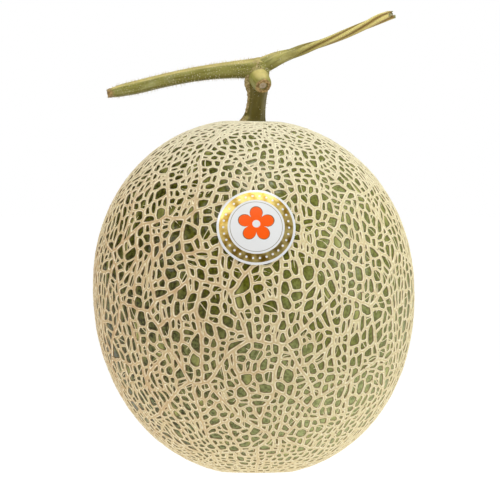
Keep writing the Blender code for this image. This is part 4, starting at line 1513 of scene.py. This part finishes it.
VINE_STEPS = (
    ("along grain", "times", "grain", (1.0, 1.0, 0.07)),
    ("fibres", "noise", "along grain", 1 / (0.9 * MM), 2.0),
    ("blotches", "noise", "place", 1 / (6 * MM), 3.0),
    ("specks", "noise", "place", 1 / (1.1 * MM), 2.0),
    ("fibre share", "range", "fibres", 0.35, 0.7, 0.0, 0.75),
    # Furrows, and painted shade on the undersides
    ("deep share", "MAXIMUM", "fibre share", "valley"),
    ("pale share", "range", "blotches", 0.5, 0.75, 0.0, 0.6),
    # Painted light on the upper side, in yellow
    ("ripe edge", "range", "blotches", 0.3, 0.7, 0.55, 1.0),
    ("ripe share", "MULTIPLY", "ripe", "ripe edge"),
    ("scars", "range", "specks", 0.56, 0.66, 0.0, 0.8),
    ("scar share", "MULTIPLY", "ripe share", "scars"),
    ("bark edge", "ADD", "bark", "specks"),
    ("bark share", "range", "bark edge", 0.78, 1.05, 0.0, 0.9),
    ("amber fibres", "range", "fibres", 0.5, 0.68, 0.0, 0.4),
    # Painted shade on the undersides joins the real furrows here
    ("furrow", "MULTIPLY", "valley", 0.95),
    ("amber share", "MAXIMUM", "amber fibres", "furrow"),
    ("olive share", "MULTIPLY", "olive", 0.9),
    ("cut edge", "ADD", "specks", "cut"),
    ("cut share", "range", "cut edge", 0.72, 1.15, 0.0, 1.0),
    ("crack", "range", "specks", 0.40, 0.62, 0.0, 1.0),
    ("pith colour", "mix", "specks", "pith_pale", "cut_tan"),
    ("dry colour", "mix", "amber share", "straw", "amber"),
    ("bark colour", "mix", "crack", "bark_deep", "bark_tan"),
    ("cut colour", "mix", "crack", "bark_deep", "cut_tan"),
    ("tip colour", "mix", "dry", "cut colour", "tip"),
    *layered("colour", "green", ("pale share", "green_pale"), ("deep share", "green_deep_and_shade"),
             ("olive share", "stalk_olive"), ("ripe share", "lit_top_side"), ("scar share", "bark_tan"),
             ("dry", "dry colour"), ("bark share", "bark colour"), ("cut share", "tip colour"),
             ("pith", "pith colour")),
    ("bumps", "bump", 0.5, 0.15 * MM, "fibres"),
    ("roughness", "range", "bark share", 0.0, 1.0, 0.48, 0.8),
)


def vine_material(vine):
    """A melon's cut vine, a juicy ribbed stem that has dried to straw at one end.

    The living part is satin olive green with painted light on its upper side, scars are matt tan cork, and
    the dried end is fibrous and straw coloured with amber furrows; painted shade darkens every shoot
    underneath.
    """
    facts = ("dry", "bark", "olive", "cut", "pith", "valley", "ripe", "grain")
    return painted("melon vine stem", vine, VINE_STEPS,
                   {"Base Color": "colour", "Roughness": "roughness", "IOR": 1.42, "Normal": "bumps"},
                   facts)


def hair_material(vine):
    """Plant hairs: thin clear bristles that read as pale straw against the green."""
    steps = (
        ("tone", "noise", "place", 1 / (5 * MM)),
        ("share", "range", "tone", 0.4, 0.6, 0.0, 1.0),
        ("colour", "mix", "share", "hair", "hair_tan"),
    )
    return painted("vine hairs", vine, steps, {"Base Color": "colour", "Roughness": 0.4, "IOR": 1.45})


def bristle_tree():
    """Stands slim cones on a surface, as thickly as its attribute hairy says."""
    tree, given = new_tree("Bristles", ("Density", "Spacing", "Length", "Thickness", "Lean", "Seed"))
    hairy = add(tree, "GeometryNodeInputNamedAttribute", {"Name": "hairy"}, data_type="FLOAT")
    spots = add(tree, "GeometryNodeDistributePointsOnFaces",
                {"Mesh": given["Geometry"], "Distance Min": given["Spacing"],
                 "Density Max": given["Density"], "Density Factor": hairy.outputs["Attribute"],
                 "Seed": given["Seed"]}, distribute_method="POISSON")
    least = add(tree, "ShaderNodeMath", (given["Lean"], -1.0), operation="MULTIPLY").outputs[0]
    low = add(tree, "ShaderNodeCombineXYZ", (least, least, 0.0))
    high = add(tree, "ShaderNodeCombineXYZ", (given["Lean"], given["Lean"], HAIR_TURN))
    tilt = add(tree, "FunctionNodeRandomValue",
               {"Min": low.outputs[0], "Max": high.outputs[0], "Seed": HAIR_TILT_SEED},
               data_type="FLOAT_VECTOR")
    turn = add(tree, "FunctionNodeEulerToRotation", (tilt.outputs[0],))
    stand = add(tree, "FunctionNodeRotateRotation", (spots.outputs["Rotation"], turn.outputs[0]),
                rotation_space="LOCAL")
    shortest, longest = HAIR_SIZES
    size = add(tree, "FunctionNodeRandomValue", {2: shortest, 3: longest, "Seed": HAIR_SIZE_SEED},
               data_type="FLOAT")
    bristle = add(tree, "GeometryNodeMeshCone",
                  {"Vertices": 4, "Radius Top": 0.0, "Radius Bottom": given["Thickness"],
                   "Depth": given["Length"]})
    placed = add(tree, "GeometryNodeInstanceOnPoints",
                 {"Points": spots.outputs["Points"], "Instance": bristle.outputs["Mesh"],
                  "Rotation": stand.outputs[0], "Scale": size.outputs[1]})
    return finish_tree(tree, placed.outputs[0], given["Material"])


# The label

def label_middle():
    """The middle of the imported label's front."""
    low, high = np.array(LABEL_BOX[0]), np.array(LABEL_BOX[1])
    return (low[0] + high[0]) / 2, LABEL_BOX_FRONT, (low[2] + high[2]) / 2 + LABEL_RISE


def label_mesh(centre):
    """A thin round sheet drawn on the unit sphere about a direction, with its UV map in metres."""
    east, north = tangent_frame(centre)
    reach = float(rough_reach(centre[None])[0])
    turn = 2 * math.pi * np.arange(LABEL_SIDES) / LABEL_SIDES
    side = east * np.cos(turn)[:, None] + north * np.sin(turn)[:, None]
    round_flat = np.stack((np.cos(turn), np.sin(turn)), axis=1)
    ways, lifts, flat = [], [], []
    for lift in (LABEL_FRONT, LABEL_BACK):
        ways.append(centre[None])
        lifts.append([lift])
        flat.append([[0.0, 0.0]])
        for radius in LABEL_RADII:
            angle = radius * MM / reach
            ways.append(centre * math.cos(angle) + side * math.sin(angle))
            droop = LABEL_DROOP if radius == LABEL_RADII[-1] and lift == LABEL_FRONT else 0.0
            lifts.append(np.full(LABEL_SIDES, lift - droop))
            flat.append(round_flat * radius * MM)
    k = np.arange(LABEL_SIDES)
    j = (k + 1) % LABEL_SIDES
    hub = np.zeros_like(k)
    half = LABEL_HALF
    fans = [np.stack((hub, 1 + k, 1 + j), axis=1), np.stack((hub, 1 + j, 1 + k), axis=1) + half]
    quads = []
    for a in range(1, half - LABEL_SIDES, LABEL_SIDES):
        b = a + LABEL_SIDES
        quads.append(np.stack((a + k, b + k, b + j, a + j), axis=1))
        quads.append(np.stack((a + k, a + j, b + j, b + k), axis=1) + half)
    rim = half - LABEL_SIDES
    quads.append(np.stack((rim + k, half + rim + k, half + rim + j, rim + j), axis=1))
    mesh = mesh_from_faces("label_sheet", np.vstack(ways), [np.vstack(quads), np.vstack(fans)],
                           {"lift": np.concatenate(lifts)})
    corners = read_out(mesh.loops, "vertex_index", 1, np.int32).ravel()
    chart = mesh.uv_layers.new(name="print")
    chart.data.foreach_set("uv", np.vstack(flat)[corners].astype(np.float32).ravel())
    return mesh


# A blossom of five petals with its outline, inside a thin round line
PAPER_STEPS = (
    ("blossom", "plus", "place", (0.0, -1.2 * MM, 0.0)),
    ("up", "ADD", "y", -1.2 * MM),
    ("angle", "ARCTAN2", "x", "up"),
    ("radius", "length", "blossom"),
    ("wave angle", "MULTIPLY", "angle", 2.5),
    ("wave", "COSINE", "wave angle"),
    ("lobe", "ABSOLUTE", "wave"),
    ("rounder", "POWER", "lobe", 0.55),
    ("edge", "MULTIPLY_ADD", "rounder", 5.2 * MM, 3.2 * MM),
    ("past", "SUBTRACT", "radius", "edge"),
    ("petals", "range", "past", 0.05 * MM, -0.05 * MM, 0.0, 1.0),
    ("petal edge", "range", "past", 0.42 * MM, 0.34 * MM, 0.0, 1.0),
    ("from middle", "length", "place"),
    ("from line", "SUBTRACT", "from middle", 12.2 * MM),
    ("off line", "ABSOLUTE", "from line"),
    ("line", "range", "off line", 0.16 * MM, 0.10 * MM, 0.0, 0.8),
    ("heart", "range", "radius", 1.9 * MM, 1.8 * MM, 0.0, 1.0),
    *layered("colour", "paper", ("line", "outline"), ("petal edge", "outline"), ("petals", "ink"),
             ("heart", "paper")),
)

# Light and dark patches, with a ring of paper-white dots
FOIL_STEPS = (
    ("patches", "noise", "place", 1 / (5.0 * MM), 2.0),
    ("creases", "noise", "place", 1 / (2.4 * MM), 2.0),
    ("share", "range", "patches", 0.38, 0.62, 0.0, 1.0),
    ("gold", "mix", "share", "foil_deep", "foil"),
    ("angle", "ARCTAN2", "x", "y"),
    ("beat", "MULTIPLY", "angle", FOIL_DOTS / (2 * math.pi)),
    ("part", "FRACT", "beat"),
    ("across", "ADD", "part", -0.5),
    ("dot x", "MULTIPLY", "across", 2 * math.pi * FOIL_MIDDLE / FOIL_DOTS * MM),
    ("radius", "length", "place"),
    ("dot y", "ADD", "radius", -FOIL_MIDDLE * MM),
    ("spot", "point", "dot x", "dot y", 0.0),
    ("away", "length", "spot"),
    ("dot", "range", "away", 0.58 * MM, 0.50 * MM, 0.0, 1.0),
    ("colour", "mix", "dot", "gold", "paper"),
    ("metal", "SUBTRACT", 1.0, "dot"),
    ("roughness", "range", "creases", 0.35, 0.65, 0.34, 0.48),
    ("bumps", "bump", 0.25, 0.08 * MM, "patches"),
)


def paper_material(label):
    """Coated white label paper: smooth and glossy, with a blossom printed in opaque ink."""
    return painted("coated label paper", label, PAPER_STEPS,
                   {"Base Color": "colour", "Roughness": 0.32, "IOR": 1.5, "Coat Weight": 0.3,
                    "Coat Roughness": 0.15}, chart="print")


def foil_material(label):
    """Hot-stamped gold foil: bright metal that breaks into light and dark patches where it creases."""
    return painted("gold stamping foil", label, FOIL_STEPS,
                   {"Base Color": "colour", "Metallic": "metal", "Roughness": "roughness",
                    "Normal": "bumps"}, chart="print")


# The studio

def white_floor_material(stage):
    """The white acrylic of a light table, lit from below, so that it hardly takes a shadow."""
    steps = (
        ("grain", "noise", "place", 1 / (2 * MM)),
        ("share", "range", "grain", 0.0, 1.0, 0.0, 0.05),
        ("colour", "mix", "share", "floor", (0.8, 0.8, 0.8, 1.0)),
    )
    return painted("lit white acrylic", stage, steps,
                   {"Base Color": "colour", "Roughness": 0.9, "Emission Color": WHITE,
                    "Emission Strength": "floor_glow"})


# White where the camera sees it, and as strong as its side's setting for the light it gives
ROOM_STEPS = (
    ("sides", "range", "x", -1.0, 1.0, "left_strength", "sky_strength"),
    ("behind", "range", "y", -0.25, -0.8, 0.0, 1.0),
    ("given", "blend", "behind", "sides", "front_strength"),
    ("strength", "blend", "seen", "given", 1.0),
    ("colour", "mix", "seen", "room", WHITE),
)


def light_room(scene, stage):
    """Put the white room round the fruit."""
    world = bpy.data.worlds.new("white room")
    scene.world = world
    world.use_nodes = True
    tree = world.node_tree
    tree.nodes.clear()
    known = setting_values(stage)
    way = add(tree, "ShaderNodeTexCoord").outputs["Generated"]
    known["x"], known["y"], _ = add(tree, "ShaderNodeSeparateXYZ", (way,)).outputs
    known["seen"] = add(tree, "ShaderNodeLightPath").outputs["Is Camera Ray"]
    run_steps(tree, known, ROOM_STEPS)
    glow = add(tree, "ShaderNodeBackground", {"Color": known["colour"], "Strength": known["strength"]})
    add(tree, "ShaderNodeOutputWorld", (glow.outputs[0],))


def link_aimed(name, data, place, target):
    """Put a light or camera at a place, turned towards its target."""
    thing = link_object(name, data)
    thing.location = place
    thing.rotation_euler = (target - Vector(place)).to_track_quat("-Z", "Y").to_euler()
    return thing


def soft_light(name, power, place, size, colour):
    lamp = bpy.data.lights.new(name, "AREA")
    lamp.shape = "RECTANGLE"
    lamp.size, lamp.size_y = size
    lamp.energy = power
    lamp.color = colour
    link_aimed(name, lamp, place, Vector((0.0, 0.0, EQUATOR_Z)))


def add_camera(scene):
    lens = bpy.data.cameras.new("camera")
    lens.sensor_width = SENSOR_WIDTH
    lens.lens = SENSOR_WIDTH * CAMERA_DISTANCE / (PHOTO_SIDE * PIXEL)
    lens.dof.use_dof = False
    lens.clip_start, lens.clip_end = CAMERA_REACH
    rise = CAMERA_DISTANCE * math.tan(math.radians(CAMERA_HEIGHT_ANGLE))
    target = Vector((FRAME_CENTRE[0], 0.0, FRAME_CENTRE[1]))
    scene.camera = link_aimed("camera", lens, target + Vector((0.0, -CAMERA_DISTANCE, rise)), target)


# One operator for each piece or group

class MELON_OT_skin(bpy.types.Operator):
    """Add the smooth green skin of the fruit"""
    bl_idname = "melon.skin"
    bl_label = "Melon Skin"

    def execute(self, context):
        fruit = context.scene.melon_fruit
        shape = bmesh.new()
        bmesh.ops.create_icosphere(shape, subdivisions=6, radius=1.0)
        mesh = mesh_of("melon_skin", shape)
        mesh.shade_smooth()
        write_facts(mesh, {"lift": 0.0})
        skin = take_fruit_form(link_object("melon_skin", mesh), shared_material(skin_material, fruit))
        on_root(skin, "fruit")
        return {"FINISHED"}


class MELON_OT_net(bpy.types.Operator):
    """Add the corky net that covers the skin"""
    bl_idname = "melon.net"
    bl_label = "Corky Net"

    def execute(self, context):
        fruit = context.scene.melon_fruit
        cork = shared_material(cork_material, fruit)
        net = grow_net(fruit)
        crests = Crests(net, fruit)
        for mesh in net_meshes(net, crests):
            sector = take_fruit_form(link_object(mesh.name, mesh), cork)
            sector.data.set_sharp_from_angle(angle=NET_SHARP)
            on_root(sector, "fruit")
        lines = take_fruit_form(link_object("net_threads", thread_lines(net, crests)), cork)
        threads = grown_by(lines, thread_tree(), {"Radius": fruit.thread_radius, "Material": cork})
        threads.data.shade_smooth()
        on_root(threads, "fruit")
        return {"FINISHED"}


class MELON_OT_vine(bpy.types.Operator):
    """Add the cut piece of vine, with its scars, ribs and torn dry end"""
    bl_idname = "melon.vine"
    bl_label = "Cut Vine"

    def execute(self, context):
        shoots = all_shoots()
        shape = bmesh.new()
        for shoot in shoots:
            shoot.add_to(shape)
        vine = remeshed(link_object("melon_vine", mesh_of("melon_vine", shape)))
        mesh = vine.data
        places = read_out(mesh.vertices, "co", 3)
        normals = read_out(mesh.vertices, "normal", 3)
        facts, grain = nearest_facts(places, shoots)
        weather(facts, places, normals)
        facts["valley"] = evened(facts["valley"], read_out(mesh.edges, "vertices", 2, int), EVEN_ROUNDS)
        facts["hairy"] *= (1 - facts["cut"]) * (places[:, 2] > STEM_BOX[0][2] + HAIRS_FROM)
        moved = np.clip(roughened(places, normals, facts, grain), *STEM_BOX)
        mesh.vertices.foreach_set("co", moved.astype(np.float32).ravel())
        write_facts(mesh, facts)
        layer = mesh.attributes.new("grain", "FLOAT_VECTOR", "POINT")
        layer.data.foreach_set("vector", grain.astype(np.float32).ravel())
        mesh.materials.clear()
        mesh.materials.append(shared_material(vine_material, context.scene.melon_vine))
        mesh.shade_smooth()
        mesh.update()
        on_root(vine, "stem")
        return {"FINISHED"}


class MELON_OT_hairs(bpy.types.Operator):
    """Stand short pale hairs on the green parts of the vine"""
    bl_idname = "melon.hairs"
    bl_label = "Vine Hairs"

    def execute(self, context):
        vine = context.scene.melon_vine
        surface = link_object("vine_hairs", bpy.data.objects["melon_vine"].data.copy())
        values = {"Density": vine.hair_density, "Spacing": vine.hair_spacing, "Length": vine.hair_length,
                  "Thickness": vine.hair_thickness, "Lean": HAIR_LEAN, "Seed": HAIR_SEED,
                  "Material": shared_material(hair_material, vine)}
        hairs = grown_by(surface, bristle_tree(), values)
        hairs.data.shade_smooth()
        on_root(hairs)
        return {"FINISHED"}


class MELON_OT_label(bpy.types.Operator):
    """Add the round paper label with its foil ring and printed blossom"""
    bl_idname = "melon.label"
    bl_label = "Paper Label"

    def execute(self, context):
        label = context.scene.melon_label
        flat = link_object("label_sheet", label_mesh(direction_to(*label_middle())))
        sheet = take_fruit_form(flat, shared_material(paper_material, label))
        mesh = sheet.data
        mesh.materials.append(shared_material(foil_material, label))
        chart = mesh.uv_layers["print"].data
        for face in mesh.polygons:
            spots = [chart[i].uv.length / MM for i in face.loop_indices]
            middle = sum(spots) / len(spots)
            in_front = max(face.vertices) < LABEL_HALF
            face.material_index = int(in_front and FOIL_INNER < middle < FOIL_OUTER)
        mesh.set_sharp_from_angle(angle=LABEL_SHARP)
        on_root(sheet, "label")
        return {"FINISHED"}


class MELON_OT_stage(bpy.types.Operator):
    """Add the white floor, the soft lights and the camera"""
    bl_idname = "melon.stage"
    bl_label = "Studio Stage"

    def execute(self, context):
        scene = context.scene
        stage = scene.melon_stage
        shape = bmesh.new()
        bmesh.ops.create_grid(shape, x_segments=8, y_segments=8, size=FLOOR_HALF)
        mesh = mesh_of("studio_floor", shape)
        mesh.materials.append(shared_material(white_floor_material, stage))
        link_object("studio_floor", mesh)
        light_room(scene, stage)
        for name, power, place, size, colour in LIGHTS:
            soft_light(name, getattr(stage, power), place, size, colour)
        add_camera(scene)
        scene.view_settings.view_transform = "Standard"
        return {"FINISHED"}


class MELON_PT_panel(bpy.types.Panel):
    """Lists the parts of the melon in the 3D view's sidebar"""
    bl_label = "Netted Muskmelon"
    bl_idname = "MELON_PT_panel"
    bl_space_type = "VIEW_3D"
    bl_region_type = "UI"
    bl_category = "Muskmelon"

    def draw(self, context):
        for step in STEPS:
            self.layout.operator(step.bl_idname)
        scene = context.scene
        for settings in (scene.melon_fruit, scene.melon_vine, scene.melon_label, scene.melon_stage):
            box = self.layout.box()
            for name in settings.__annotations__:
                box.prop(settings, name)


SETTINGS = {"melon_fruit": FruitSettings, "melon_vine": VineSettings, "melon_label": LabelSettings,
            "melon_stage": StageSettings}
STEPS = (MELON_OT_skin, MELON_OT_net, MELON_OT_vine, MELON_OT_hairs, MELON_OT_label, MELON_OT_stage)


def register():
    for kind in (*SETTINGS.values(), *STEPS, MELON_PT_panel):
        bpy.utils.register_class(kind)
    for name, kind in SETTINGS.items():
        setattr(bpy.types.Scene, name, bpy.props.PointerProperty(type=kind))


def unregister():
    for name in SETTINGS:
        delattr(bpy.types.Scene, name)
    for kind in (MELON_PT_panel, *reversed(STEPS), *SETTINGS.values()):
        bpy.utils.unregister_class(kind)


def main():
    register()
    for step in STEPS:
        group, name = step.bl_idname.split(".")
        getattr(getattr(bpy.ops, group), name)()


if __name__ == "__main__":
    main()
